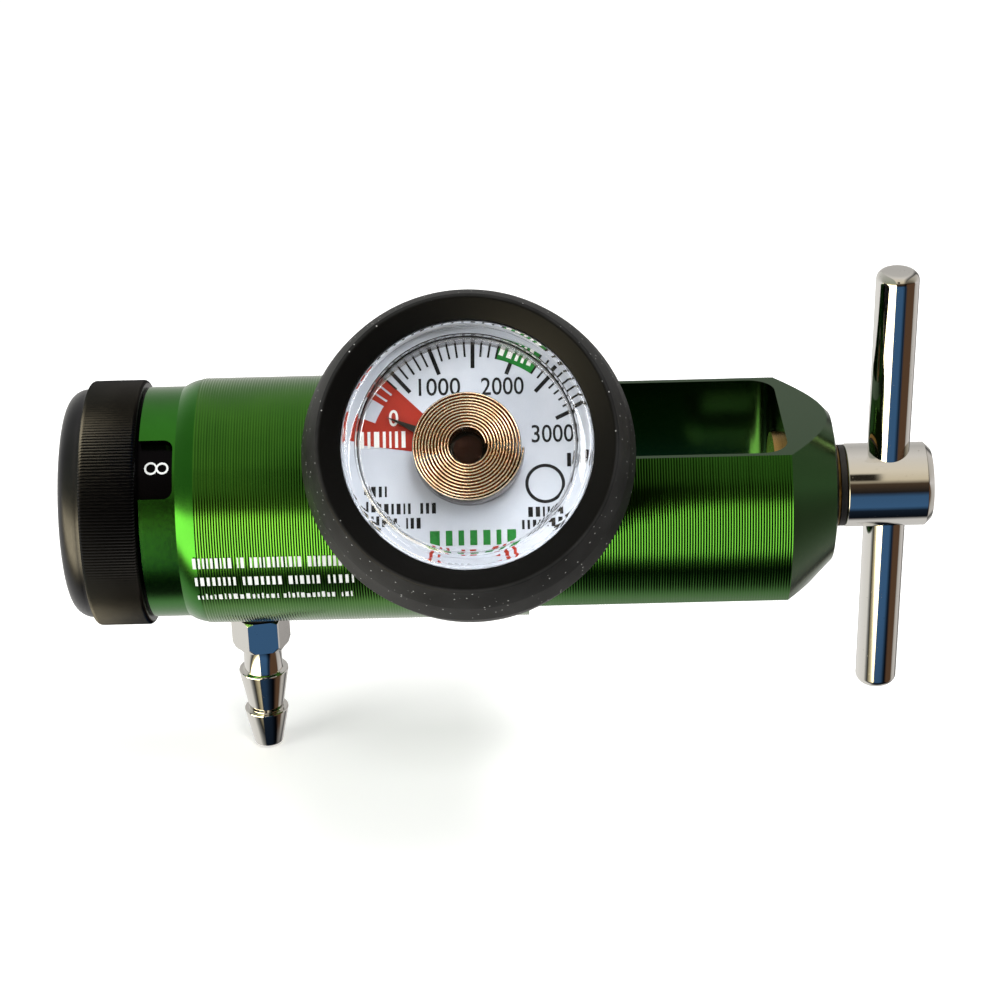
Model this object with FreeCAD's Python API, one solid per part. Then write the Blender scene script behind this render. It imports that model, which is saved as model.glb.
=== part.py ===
"""Pin-index yoke oxygen regulator with a click-stop flow knob and a contents gauge.

Millimetres. The origin is the centre of the inlet seat, on the body's axis.
+X runs along the body to the clamping T-handle, +Z is the way the cylinder
valve's post passes through the yoke, and the front is -Y. A tilt is an angle
from +Z towards the front, turned about the body's axis.
"""
import FreeCAD, Part
import math
import os
from FreeCAD import Placement, Rotation, Vector

# Clearances
RUN_GAP = 0.05           # radial, a piece that turns or slides in its bore
FACE_GAP = 0.05          # between faces that turn or slide past each other
FREE_GAP = 0.3           # between a moving piece and one that it only passes
SET_GAP = 0.1            # around a piece that is dropped into its recess
CUT_OVER = 1.0           # how far a cutter runs past the skin

# Body and yoke
BODY_R = 18.58
BODY_LENGTH = 56.75      # inlet seat to the knob end
NECK_STEP = 1.08         # body to neck, radial
NECK_LENGTH = 5.35
SHOULDER_LENGTH = 3.6
SLOT_LENGTH = 38.5
SLOT_WIDTH = 26.7
SLOT_CORNER_R = 4.0
FLAT_HEIGHT = 11.95      # from the axis to each milled flat
END_WALL = 8.3
CONE_LENGTH = 7.3
CONE_DROP = 7.28         # body to the cone's end, radial
END_DOME = 0.8           # the end face's shallow slope, along the axis
END_DOME_DROP = 3.9      # and radial

# Inlet side
NIPPLE_R = 3.5
NIPPLE_LENGTH = 5.0
NIPPLE_CHAMFER = 0.35
NIPPLE_GROOVE = 0.2      # depth of the root groove that keeps the washer on
SLEEVE_R = 6.5
SLEEVE_SETBACK = 3.0     # chamber floor to the sleeve's end
SLEEVE_BORE_R = 1.5
FILTER_R = 2.2
FILTER_LENGTH = 6.5
NOZZLE_R = 1.6
NOZZLE_HEIGHT = 1.0
NOZZLE_FLARE = 1.0       # wider at its foot by this much
NOZZLE_BORE_R = 0.8
SEAL_R = 6.6
SEAL_THICKNESS = 2.3
SEAL_PROUD = 0.3
SEAL_CORE_R = 5.0
INDEX_PIN_R = 2.0
INDEX_PIN_LENGTH = 5.5
INDEX_PIN_CHAMFER = 0.5
INDEX_PIN_ROOT = 6.0
INDEX_PIN_ROOT_R = 2.3
INDEX_RADIUS = 14.29
INDEX_ANGLE = 18.0       # each pin from the downward centre line

# Piston and its chamber
BORE_R = 13.0
GUIDE_R = 6.3
GUIDE_LENGTH = 5.0
STEM_R = 4.0
STEM_TIP_R = 3.4
SPRING_LENGTH = 9.4
SPRING_WIRE_R = 0.9
SPRING_R = 9.2
SPRING_TURNS = 4
VALVE_TRAVEL = 0.8
HEAD_THICKNESS = 4.6
HEAD_SEAL_SECTION = 1.7
STEM_SEAL_SECTION = 1.4
STEM_SEAL_SETBACK = 4.6
GAS_BORE_R = 1.2
CROSS_BORE_R = 0.6
VALVE_SEAT_R = 2.2
VALVE_SEAT_LENGTH = 1.4
VENT_R = 1.0
VENT_TILT = 244.0

# Flow selector
HOUSING_RIM = 2.2
CUP_DEPTH = 3.35
HOUSING_LENGTH = 11.95
HOUSING_SEAL_SECTION = 1.6
HOUSING_SEAL_SETBACK = 1.6
DISC_R = 9.5
DISC_THICKNESS = 1.6
DISC_GAP = 0.2
FLOW_STEPS = 12
ORIFICE_RADIUS = 6.5     # pitch circle of the metering holes
ORIFICE_SMALLEST = 0.18
ORIFICE_STEP = 0.04
PICKUP_R = 0.9
PICKUP_SEAL_R = 1.8
PICKUP_SEAL_DEPTH = 1.8
SHAFT_R = 3.0
SHAFT_TIP_R = 2.0
SHAFT_SEAL_SECTION = 1.2
SHAFT_SEAL_DEPTH = 2.4   # from the housing's knob end
RING_THICKNESS = 1.2
RING_DEPTH = 0.9
RING_INNER_R = 11.9
RING_OPENING = 4.4       # between the split ring's ends
DETENT_FLANGE_R = 11.0
DETENT_FLANGE = 1.6
DETENT_RADIUS = 9.0
BALL_R = 1.5
DIMPLE_DEPTH = 0.4
DETENT_SPRING_R = 1.15
DETENT_SPRING_WIRE_R = 0.2
DETENT_SPRING_LENGTH = 4.6
DETENT_SPRING_TURNS = 6

# Knob
KNOB_GAP = 0.45
KNURL_PROUD = 0.05       # above the body's radius
KNURL_LENGTH = 8.3
KNURL_EDGE_R = 0.6
FRONT_STEP = 1.23        # knurl to front, radial
FRONT_DEPTH = 3.5
FRONT_FILLET_R = 2.9
KNOB_CAVITY = 5.4
KNOB_BOSS_R = 5.5
KNOB_BOSS_SETBACK = 0.3
SHAFT_GRIP = 6.6
SHAFT_FLAT = 2.4         # from the axis to the shaft's flat
GRIP_GAP = 0.025         # radial, the shaft's flatted end in the knob
NECK_WALL = 1.2          # outside the number ring's bore
DIAL_RING_WALL = 1.6
DIAL_RING_SOCKET = 3.0
WINDOW_LENGTH = 5.0
DIAL_RING_SETBACK = 0.5  # number ring to the floor of its bore
WINDOW_TILT = 48.25
WINDOW_HALF_ANGLE = 14.75
WINDOW_CORNER_R = 1.4
SCREW_R = 1.5
SCREW_HEAD_R = 2.75
SCREW_HEAD = 2.4
SCREW_RECESS = 2.8
SCREW_LENGTH = 7.7
SCREW_SOCKET_R = 1.45
SCREW_SOCKET_DEPTH = 1.3

# Hose barb
BARB_SETBACK = 5.6       # from the housing's web
BARB_STEM_R = 3.95
BARB_STEM_GAP = 0.38     # its end to the chamber's bore
BARB_GROOVE_R = 2.6
BARB_SPOT_R = 4.3
BARB_SPOT_DEPTH = 0.55   # flat for the seal, in the body's side
BARB_SEAL_SECTION = 1.5
HEX_FLATS = 7.94
HEX_LENGTH = 5.3
HEX_TURN = -10.5         # from square to the body's axis, where it came tight
HEX_CHAMFER_R = 4.2
BARB_NECK_R = 3.0
BARB_NECK_LENGTH = 4.5
BARB_RIDGE_R = 3.9
BARB_WAIST_R = 2.67
BARB_RIDGE_LENGTH = 7.0
BARB_TIP_RIDGE_R = 3.5
BARB_TIP_R = 2.25
BARB_TIP_LENGTH = 6.3
BARB_BORE_R = 1.3

# Clamping screw
SHANK_R = 4.76
NOSE_LENGTH = 2.0
NOSE_R = 2.8
SCREW_TRAVEL = 9.0       # the nose leaves the slot clear when the screw is out
BUSHING_R = 6.6
BUSHING_PROUD = 0.5
BUSHING_FLANGE_R = 8.4
BUSHING_FLANGE = 1.2
BUMPER_R = 6.2
BUMPER_THICKNESS = 0.85
HUB_R = 6.35
HUB_LENGTH = 13.15
HUB_CHAMFER = 1.0
HUB_EDGE = 0.3           # small chamfer at the hub's inner end
TOMMY_R = 3.175
TOMMY_LENGTH = 71.3
TOMMY_EDGE_R = 1.4
TOMMY_TILT = 4.0

# Gauge, stacked outwards from the body's axis
GAUGE_X = -8.0
GAUGE_TILT = 55.0
SPOT_DEPTH = 0.78
SPOT_R = 8.2
GAUGE_STEM_R = 4.9
GAUGE_STEM_GAP = 0.5     # its end to the sleeve
GAUGE_PORT_R = 1.5
GAUGE_SEAL_SECTION = 1.6
SHANK_FLATS = 11.0
SHANK_HEIGHT = 3.2
CASE_R = 19.4
CASE_WALL = 0.8
SOCKET_R = 5.0
DIAL_DEPTH = 14.3
DIAL_THICKNESS = 0.5
DIAL_MARGIN = 0.2        # plate to the cup's wall
POST_R = 2.0
POST_TOP = 1.2           # above the pointer
POINTER_GAP = 0.5
POINTER_THICKNESS = 0.4
POINTER_RING_R = 3.4
POINTER_LENGTH = 12.3
POINTER_WIDTH = 1.9
COIL_GAP = 0.4
COIL_HEIGHT = 4.9
COIL_R = 7.75
COIL_HOLE_R = 2.3
COIL_STRIP = 0.24
COIL_TURNS = 12
LENS_GAP = 0.3
LENS_THICKNESS = 1.2
LENS_FLANGE_WIDTH = 2.15
LENS_WALL = 1.95
LENS_SHOULDER_R = 0.8
LENS_STEP_INSET = 2.2    # lens side to the step
LENS_STEP_WIDTH = 0.35
LENS_STEP_DEPTH = 0.25
LENS_FLANGE = 1.0
LENS_FLANGE_DROP = 2.1   # lens face to the flange's underside
BOOT_WALL = 3.9          # outside the cup, at the widest ring
BOOT_RIDGE_WALL = 0.6    # outside the cup, at the ridge
BOOT_RIDGE = 1.3         # ridge above the lens face
BOOT_FLARE = 9.4         # ridge to the widest ring
BOOT_BACK = 1.2
BOOT_BACK_WALL = 2.5     # outside the cup, at the back
BOOT_CORNER_R = 2.6
BOOT_RIDGE_EDGE = 0.65   # width of the ridge's outer bevel
BOOT_BULGE = 0.33        # how far the flared side swells outwards
BOOT_HOLE_GAP = 0.8      # around the gauge's spot face

# Dial print, angles anticlockwise from +X as the dial is read
ZERO_ANGLE = 152.9
POINTER_ANGLE = 155.5
ANGLE_PER_MARK = 4.26    # one mark is 100 units
MARKS = 30
FIRST_MARK = 4           # the first black mark, on the red field's edge
MARKS_PER_BOLD = 5
BLANK_MARKS = (2, 3)     # left as bare dial in the red field
GREEN_MARKS = (18, 23)   # the green field runs between these
INK = 0.06
PRINT_SHIFT_X = 0.6      # the print sits a little off the plate's centre
PRINT_SHIFT_Y = -0.95
PRINT_MARGIN = 1.3       # inside the plate's edge
BOLD_LENGTH = 4.23
BOLD_WIDTH = 0.55
FINE_LENGTH = 2.6
FINE_WIDTH = 0.28
RED_TO = 171.4
RED_INNER_R = 3.5
BLOCK_HALF_ANGLE = 5.3

# Radii that follow others
NECK_R = BODY_R - NECK_STEP
CONE_END_R = BODY_R - CONE_DROP
END_FACE_R = CONE_END_R - END_DOME_DROP
KNURL_R = BODY_R + KNURL_PROUD
FRONT_R = KNURL_R - FRONT_STEP
DIAL_RING_R = NECK_R - NECK_WALL - FREE_GAP
DIAL_PLATE_R = CASE_R - CASE_WALL - DIAL_MARGIN
LENS_R = CASE_R - LENS_FLANGE_WIDTH
LENS_STEP_R = LENS_R - LENS_STEP_INSET
BOOT_R = CASE_R + BOOT_WALL
BOOT_RIDGE_R = CASE_R + BOOT_RIDGE_WALL
BOOT_BACK_R = CASE_R + BOOT_BACK_WALL
BOOT_HOLE_R = SPOT_R + BOOT_HOLE_GAP
PRINT_R = DIAL_PLATE_R - PRINT_MARGIN
BOLD_INNER_R = PRINT_R - BOLD_LENGTH
FINE_INNER_R = PRINT_R - FINE_LENGTH

# Stations along the body's axis
KNOB_END_X = -BODY_LENGTH
NECK_END_X = KNOB_END_X + NECK_LENGTH
END_FACE_X = SLOT_LENGTH + END_WALL
CONE_END_X = END_FACE_X - END_DOME
CONE_X = CONE_END_X - CONE_LENGTH
DIAL_RING_END_X = KNOB_END_X + WINDOW_LENGTH
FLANGE_END_X = DIAL_RING_END_X + DIAL_RING_SETBACK
FLANGE_X = FLANGE_END_X + DETENT_FLANGE
RING_END_X = FLANGE_X + 2 * FACE_GAP
HOUSING_END_X = RING_END_X + RING_THICKNESS
WEB_X = HOUSING_END_X + HOUSING_LENGTH
BARB_X = WEB_X - BARB_SETBACK
DISC_X = WEB_X + DISC_GAP
CUP_X = WEB_X + CUP_DEPTH
PISTON_END_X = CUP_X + FACE_GAP
HEAD_X = PISTON_END_X + HEAD_THICKNESS
FLOOR_X = HEAD_X + SPRING_LENGTH
GUIDE_END_X = FLOOR_X - GUIDE_LENGTH
SLEEVE_END_X = FLOOR_X + SLEEVE_SETBACK
NOZZLE_X = SLEEVE_END_X - NOZZLE_HEIGHT
VALVE_X = NOZZLE_X - VALVE_TRAVEL - FACE_GAP
KNOB_X = KNOB_END_X - KNOB_GAP
BAND_END_X = KNOB_X - KNURL_LENGTH
KNOB_FRONT_X = BAND_END_X - FRONT_DEPTH
BOSS_X = KNOB_X - KNOB_BOSS_SETBACK
SHAFT_END_X = BOSS_X - SHAFT_GRIP
SCREW_SEAT_X = KNOB_FRONT_X + SCREW_RECESS
BALL_X = FLANGE_X - DIMPLE_DEPTH + BALL_R
BUSHING_END_X = END_FACE_X + BUSHING_PROUD
BUMPER_X = BUSHING_END_X + FACE_GAP
HUB_X = BUMPER_X + BUMPER_THICKNESS + FACE_GAP
HUB_END_X = HUB_X + HUB_LENGTH
TOMMY_X = (HUB_X + HUB_END_X) / 2

# Heights along the gauge's axis
SPOT_Z = BODY_R - SPOT_DEPTH
CASE_Z = SPOT_Z + SHANK_HEIGHT
GAUGE_STEM_Z = SLEEVE_R + GAUGE_STEM_GAP
DIAL_Z = CASE_Z + DIAL_DEPTH
PRINT_Z = DIAL_Z + DIAL_THICKNESS
POINTER_Z = PRINT_Z + POINTER_GAP
POINTER_TOP_Z = POINTER_Z + POINTER_THICKNESS
COIL_Z = POINTER_TOP_Z + COIL_GAP
COIL_TOP_Z = COIL_Z + COIL_HEIGHT
LENS_IN_Z = COIL_TOP_Z + LENS_GAP
LENS_Z = LENS_IN_Z + LENS_THICKNESS
FLANGE_Z = LENS_Z - LENS_FLANGE_DROP
RIDGE_Z = LENS_Z + BOOT_RIDGE
FLARE_Z = RIDGE_Z - BOOT_FLARE
BOOT_Z = CASE_Z - BOOT_BACK

X_AXIS = Vector(1, 0, 0)
Z_AXIS = Vector(0, 0, 1)


def outline(points, place):
    """A closed wire through points, where a longer item also names the middle of an arc to it."""
    spots = [place(*item[:2]) for item in points]
    edges = []
    for i, item in enumerate(points):
        start = spots[i - 1]
        if len(item) == 4:
            edges.append(Part.Arc(start, place(*item[2:]), spots[i]).toShape())
        else:
            edges.append(Part.LineSegment(start, spots[i]).toShape())
    return Part.Wire(edges)


def turned(points):
    """A solid turned about the body's axis from (x, radius) points."""
    wire = outline(points, lambda x, r: Vector(x, r, 0))
    return Part.Face(wire).revolve(Vector(), X_AXIS, 360)


def turned_up(points):
    """A solid turned about Z from (height, radius) points."""
    wire = outline(points, lambda z, r: Vector(r, 0, z))
    return Part.Face(wire).revolve(Vector(), Z_AXIS, 360)


def rod(x0, x1, r, y=0.0, z=0.0):
    """A cylinder along the body's axis from x0 to x1."""
    return Part.makeCylinder(r, abs(x1 - x0), Vector(min(x0, x1), y, z), X_AXIS)


def post(z0, z1, r, x=0.0, y=0.0):
    """A cylinder along Z from z0 to z1."""
    return Part.makeCylinder(r, abs(z1 - z0), Vector(x, y, min(z0, z1)), Z_AXIS)


def box(x, y, z):
    """A box from three (low, high) pairs."""
    size = [pair[1] - pair[0] for pair in (x, y, z)]
    return Part.makeBox(*size, Vector(x[0], y[0], z[0]))


def tilted(shape, tilt, x=0.0):
    """A shape built along Z, leaned by a tilt about the body's axis and set at a station."""
    copy = shape.copy()
    copy.Placement = Placement(Vector(x, 0, 0), Rotation(X_AXIS, tilt)).multiply(copy.Placement)
    return copy


def spun(shape, angle):
    """A copy turned about the body's axis."""
    copy = shape.copy()
    copy.rotate(Vector(), X_AXIS, angle)
    return copy


def torus(x, r, section):
    """An O-ring about the body's axis with its middle circle of radius r."""
    return Part.makeTorus(r, section / 2, Vector(x, 0, 0), X_AXIS)


def coil_spring(x0, x1, r, wire_r, turns):
    """A round-wire spring between two faces, each half turn a tilted half ring in line with the next."""
    rise = (abs(x1 - x0) - 2 * wire_r) / (2 * turns)
    halves = []
    for k in range(2 * turns):
        side = -1 if k % 2 else 1
        x = min(x0, x1) + wire_r + k * rise
        start = Vector(x, side * r, 0)
        centre = Vector(x + rise / 2, 0, 0)
        along = Vector(0, 0, side)
        section = Part.Face(Part.Wire(Part.makeCircle(wire_r, start, along)))
        halves.append(section.revolve(centre, (start - centre).cross(along), 180))
    return halves[0].fuse(halves[1:])


def hexagon(flats, z0, z1):
    """A hexagonal bar along Z with its flats facing the sides of the body's axis."""
    corner_r = flats / 2 / math.cos(math.pi / 6)
    corners = []
    for i in range(7):
        turn = math.radians(60 * i)
        corners.append(Vector(corner_r * math.cos(turn), corner_r * math.sin(turn), z0))
    return Part.Face(Part.makePolygon(corners)).extrude(Vector(0, 0, z1 - z0))


def body_shell():
    """The turned outside: smooth neck, rounded shoulder, cylinder, end cone and slightly sloping end face."""
    rise = BODY_R - NECK_R
    bend = (SHOULDER_LENGTH ** 2 + rise ** 2) / (2 * rise)
    turn = math.asin(SHOULDER_LENGTH / bend) / 2
    shoulder_x = NECK_END_X + SHOULDER_LENGTH
    middle = (shoulder_x - bend * math.sin(turn), BODY_R - bend * (1 - math.cos(turn)))
    return turned([
        (KNOB_END_X, 0),
        (KNOB_END_X, NECK_R),
        (NECK_END_X, NECK_R),
        (shoulder_x, BODY_R) + middle,
        (CONE_X, BODY_R),
        (CONE_END_X, CONE_END_R),
        (END_FACE_X, END_FACE_R),
        (END_FACE_X, 0),
    ])


def body_bores():
    """Everything bored into the body along its axis."""
    socket_r = DIAL_RING_R + FREE_GAP
    groove_r = BORE_R + RING_DEPTH
    return [
        rod(KNOB_END_X, FLANGE_END_X, socket_r),
        rod(KNOB_END_X, FLOOR_X, BORE_R).cut(rod(GUIDE_END_X, FLOOR_X, GUIDE_R)),
        rod(HOUSING_END_X, RING_END_X, groove_r),
        rod(GUIDE_END_X, SLEEVE_END_X, STEM_R + RUN_GAP),
        rod(SLEEVE_END_X, 0, SLEEVE_R),
        rod(SLOT_LENGTH, END_FACE_X, BUSHING_R),
    ]


def yoke_cuts():
    """The slot for the valve's post and the flats milled on both of its faces."""
    half = SLOT_WIDTH / 2
    slot = box((0, SLOT_LENGTH), (-half, half), (-BODY_R, BODY_R))
    upright = [e for e in slot.Edges if abs(e.BoundBox.ZLength - 2 * BODY_R) < 1e-6]
    slot = slot.makeFillet(SLOT_CORNER_R, [e for e in upright if e.CenterOfMass.x > SLOT_LENGTH / 2])
    upper = box((0, END_FACE_X), (-BODY_R, BODY_R), (FLAT_HEIGHT, BODY_R))
    lower = upper.mirror(Vector(), Z_AXIS)
    return [slot, upper, lower]


def number_window():
    """The window in the neck, open to the knob, as a wedge with two rounded corners."""
    half = NECK_R * math.radians(WINDOW_HALF_ANGLE)
    x0 = KNOB_END_X
    x1 = DIAL_RING_END_X
    block = box((x0, x1), (-half, half), (0, BODY_R))
    upright = [e for e in block.Edges if abs(e.BoundBox.ZLength - BODY_R) < 1e-6]
    inner = [e for e in upright if e.CenterOfMass.x > (x0 + x1) / 2]
    return tilted(block.makeFillet(WINDOW_CORNER_R, inner), WINDOW_TILT)


def body_ports():
    """Side holes for the gauge, the hose barb, the index pins and the chamber's vent."""
    seal_r = GAUGE_STEM_R + GAUGE_SEAL_SECTION + SET_GAP
    gauge = post(SPOT_Z, BODY_R + CUT_OVER, SPOT_R)
    gauge = gauge.fuse(post(SPOT_Z - GAUGE_SEAL_SECTION, SPOT_Z, seal_r))
    gauge = gauge.fuse(post(SLEEVE_R - CUT_OVER, SPOT_Z, GAUGE_STEM_R))
    barb_z = BODY_R - BARB_SPOT_DEPTH
    barb = post(barb_z, BODY_R + CUT_OVER, BARB_SPOT_R)
    barb = barb.fuse(post(BORE_R - CUT_OVER, barb_z, BARB_STEM_R))
    vent = post(BORE_R - CUT_OVER, BODY_R + CUT_OVER, VENT_R)
    vent_x = (GUIDE_END_X + HEAD_X) / 2
    cuts = [tilted(gauge, GAUGE_TILT, GAUGE_X), tilted(barb, 180, BARB_X), tilted(vent, VENT_TILT, vent_x)]
    for y, z in index_places():
        cuts.append(rod(-INDEX_PIN_ROOT, 0, INDEX_PIN_ROOT_R, y, z))
    return cuts


def index_places():
    """Where the two index pins stand on their circle below the inlet."""
    turn = math.radians(INDEX_ANGLE)
    y = INDEX_RADIUS * math.sin(turn)
    z = -INDEX_RADIUS * math.cos(turn)
    return [(-y, z), (y, z)]


def regulator_body():
    """The one-piece body: valve chambers on the left, open yoke on the right."""
    return body_shell().cut(body_bores() + yoke_cuts() + [number_window()] + body_ports())


def washer_face_x():
    """Where the washer's rubber core ends, proud of its metal ring."""
    return SEAL_THICKNESS + SEAL_PROUD


def inlet_sleeve():
    """Brass high-pressure sleeve with the inlet nipple and the valve's nozzle."""
    sleeve = turned([
        (NOZZLE_X, 0),
        (NOZZLE_X, NOZZLE_R),
        (SLEEVE_END_X, NOZZLE_R + NOZZLE_FLARE),
        (SLEEVE_END_X, SLEEVE_R),
        (0, SLEEVE_R),
        (0, NIPPLE_R - NIPPLE_GROOVE),
        (washer_face_x(), NIPPLE_R - NIPPLE_GROOVE),
        (washer_face_x(), NIPPLE_R),
        (NIPPLE_LENGTH - NIPPLE_CHAMFER, NIPPLE_R),
        (NIPPLE_LENGTH, NIPPLE_R - NIPPLE_CHAMFER),
        (NIPPLE_LENGTH, 0),
    ])
    filter_end = NIPPLE_LENGTH - FILTER_LENGTH
    return sleeve.cut([
        rod(filter_end, NIPPLE_LENGTH, FILTER_R),
        rod(SLEEVE_END_X + NOZZLE_HEIGHT, filter_end, SLEEVE_BORE_R),
        rod(NOZZLE_X, SLEEVE_END_X + NOZZLE_HEIGHT, NOZZLE_BORE_R),
        tilted(post(0, SLEEVE_R, GAUGE_PORT_R), GAUGE_TILT, GAUGE_X),
    ])


def inlet_filter():
    """Sintered filter plug in the nipple's mouth."""
    return rod(NIPPLE_LENGTH - FILTER_LENGTH, NIPPLE_LENGTH - FREE_GAP, FILTER_R)


def seal_ring():
    """Metal ring of the sealing washer."""
    ring = rod(0, SEAL_THICKNESS, SEAL_R)
    return ring.cut(rod(0, SEAL_THICKNESS, SEAL_CORE_R))


def seal_core():
    """Rubber core of the sealing washer, a little proud of its ring."""
    core = rod(0, washer_face_x(), SEAL_CORE_R)
    return core.cut(rod(0, washer_face_x(), NIPPLE_R - NIPPLE_GROOVE))


def index_pins():
    """The two keying pins below the inlet, with stout roots and chamfered ends."""
    pins = []
    for y, z in index_places():
        pin = turned([
            (-INDEX_PIN_ROOT, 0),
            (-INDEX_PIN_ROOT, INDEX_PIN_ROOT_R),
            (0, INDEX_PIN_ROOT_R),
            (0, INDEX_PIN_R),
            (INDEX_PIN_LENGTH - INDEX_PIN_CHAMFER, INDEX_PIN_R),
            (INDEX_PIN_LENGTH, INDEX_PIN_R - INDEX_PIN_CHAMFER),
            (INDEX_PIN_LENGTH, 0),
        ])
        pin.translate(Vector(0, y, z))
        pins.append(pin)
    return Part.makeCompound(pins)


def head_seal_x():
    """Station of the piston head's O-ring."""
    return (HEAD_X + PISTON_END_X) / 2


def stem_seal_x():
    """Station of the O-ring on the piston's stem."""
    return VALVE_X - STEM_SEAL_SETBACK


def piston():
    """Piston with a hollow stem, shown where the spring holds the valve open."""
    head_r = BORE_R - RUN_GAP
    throat_x = stem_seal_x() + STEM_SEAL_SECTION
    cross_x = VALVE_X - VALVE_SEAT_LENGTH - GAS_BORE_R
    solid = turned([
        (PISTON_END_X, 0),
        (PISTON_END_X, head_r),
        (HEAD_X, head_r),
        (HEAD_X, STEM_R),
        (throat_x, STEM_R),
        (throat_x, STEM_TIP_R),
        (VALVE_X, STEM_TIP_R),
        (VALVE_X, 0),
    ])
    head_groove = rod(head_seal_x() - HEAD_SEAL_SECTION / 2, head_seal_x() + HEAD_SEAL_SECTION / 2, BORE_R)
    head_groove = head_groove.cut(rod(PISTON_END_X, HEAD_X, head_r - HEAD_SEAL_SECTION))
    stem_groove = rod(stem_seal_x() - STEM_SEAL_SECTION / 2, stem_seal_x() + STEM_SEAL_SECTION / 2, BORE_R)
    stem_groove = stem_groove.cut(rod(HEAD_X, VALVE_X, STEM_R - STEM_SEAL_SECTION))
    return solid.cut([
        head_groove,
        stem_groove,
        rod(PISTON_END_X, cross_x, GAS_BORE_R),
        post(-STEM_R, STEM_R, CROSS_BORE_R, cross_x),
        rod(VALVE_X - VALVE_SEAT_LENGTH, VALVE_X, VALVE_SEAT_R),
    ])


def piston_head_seal():
    """O-ring in the piston head's groove."""
    return torus(head_seal_x(), BORE_R - RUN_GAP - HEAD_SEAL_SECTION / 2, HEAD_SEAL_SECTION)


def piston_stem_seal():
    """O-ring in the stem's groove."""
    return torus(stem_seal_x(), STEM_R - STEM_SEAL_SECTION / 2, STEM_SEAL_SECTION)


def valve_seat():
    """Plastic disc in the stem's end that closes on the nozzle."""
    return rod(VALVE_X - VALVE_SEAT_LENGTH, VALVE_X, VALVE_SEAT_R)


def piston_spring():
    """Spring around the guide, between the chamber's floor and the piston's head."""
    return coil_spring(HEAD_X, FLOOR_X, SPRING_R, SPRING_WIRE_R, SPRING_TURNS)


def housing_seal_x():
    """Station of the flow housing's O-ring."""
    return WEB_X - HOUSING_SEAL_SETBACK


def shaft_seal_x():
    """Station of the shaft's O-ring."""
    return HOUSING_END_X + SHAFT_SEAL_DEPTH


def flow_housing():
    """Fixed brass housing: cup over the metering disc, shaft bore, outlet and detent holes."""
    outer_r = BORE_R - RUN_GAP
    solid = rod(HOUSING_END_X, CUP_X, outer_r)
    seal_x = housing_seal_x()
    seal_groove = rod(seal_x - HOUSING_SEAL_SECTION / 2, seal_x + HOUSING_SEAL_SECTION / 2, BORE_R)
    seal_groove = seal_groove.cut(rod(HOUSING_END_X, CUP_X, outer_r - HOUSING_SEAL_SECTION))
    seal_half = SHAFT_SEAL_SECTION / 2
    pickup_end = WEB_X - PICKUP_SEAL_DEPTH
    return solid.cut([
        rod(WEB_X, CUP_X, outer_r - HOUSING_RIM),
        rod(HOUSING_END_X, WEB_X, SHAFT_R + RUN_GAP),
        rod(shaft_seal_x() - seal_half, shaft_seal_x() + seal_half, SHAFT_R + RUN_GAP + SHAFT_SEAL_SECTION),
        seal_groove,
        rod(BARB_X, WEB_X, PICKUP_R, 0, -ORIFICE_RADIUS),
        rod(pickup_end, WEB_X, PICKUP_SEAL_R, 0, -ORIFICE_RADIUS),
        post(-outer_r, -ORIFICE_RADIUS, BARB_BORE_R, BARB_X),
        rod(HOUSING_END_X, detent_floor_x(), BALL_R + RUN_GAP, 0, DETENT_RADIUS),
    ])


def housing_seal():
    """O-ring around the flow housing."""
    return torus(housing_seal_x(), BORE_R - RUN_GAP - HOUSING_SEAL_SECTION / 2, HOUSING_SEAL_SECTION)


def shaft_seal():
    """O-ring in the housing around the turning shaft."""
    return torus(shaft_seal_x(), SHAFT_R + RUN_GAP + SHAFT_SEAL_SECTION / 2, SHAFT_SEAL_SECTION)


def pickup_seal():
    """Plastic ring that the metering disc turns against."""
    x0 = WEB_X - PICKUP_SEAL_DEPTH
    x1 = DISC_X - FACE_GAP
    ring = rod(x0, x1, PICKUP_SEAL_R, 0, -ORIFICE_RADIUS)
    return ring.cut(rod(x0, x1, PICKUP_R, 0, -ORIFICE_RADIUS))


def orifice_disc():
    """Metering disc with one hole for each flow and none at the off stop."""
    x1 = DISC_X + DISC_THICKNESS
    disc = rod(DISC_X, x1, DISC_R).cut(rod(DISC_X, x1, SHAFT_TIP_R))
    holes = []
    for i in range(1, FLOW_STEPS):
        hole = rod(DISC_X, x1, ORIFICE_SMALLEST + ORIFICE_STEP * i, 0, -ORIFICE_RADIUS)
        holes.append(spun(hole, 360 / FLOW_STEPS * i))
    return disc.cut(holes)


def selector_shaft():
    """Shaft from the knob to the metering disc, with the dimpled click-stop flange."""
    disc_end = DISC_X + DISC_THICKNESS
    solid = turned([
        (SHAFT_END_X, 0),
        (SHAFT_END_X, SHAFT_R),
        (FLANGE_END_X, SHAFT_R),
        (FLANGE_END_X, DETENT_FLANGE_R),
        (FLANGE_X, DETENT_FLANGE_R),
        (FLANGE_X, SHAFT_R),
        (DISC_X, SHAFT_R),
        (DISC_X, SHAFT_TIP_R),
        (disc_end, SHAFT_TIP_R),
        (disc_end, 0),
    ])
    cuts = [
        rod(SHAFT_END_X, SCREW_SEAT_X + SCREW_LENGTH + FREE_GAP, SCREW_R),
        box((SHAFT_END_X, BOSS_X), (-SHAFT_R, SHAFT_R), (SHAFT_FLAT, SHAFT_R)),
    ]
    dimple = Part.makeSphere(BALL_R + RUN_GAP, Vector(BALL_X, 0, DETENT_RADIUS))
    for i in range(FLOW_STEPS):
        cuts.append(spun(dimple, 360 / FLOW_STEPS * i))
    return solid.cut(cuts)


def detent_floor_x():
    """Floor of the detent's hole in the flow housing."""
    return BALL_X + BALL_R + DETENT_SPRING_LENGTH


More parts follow.
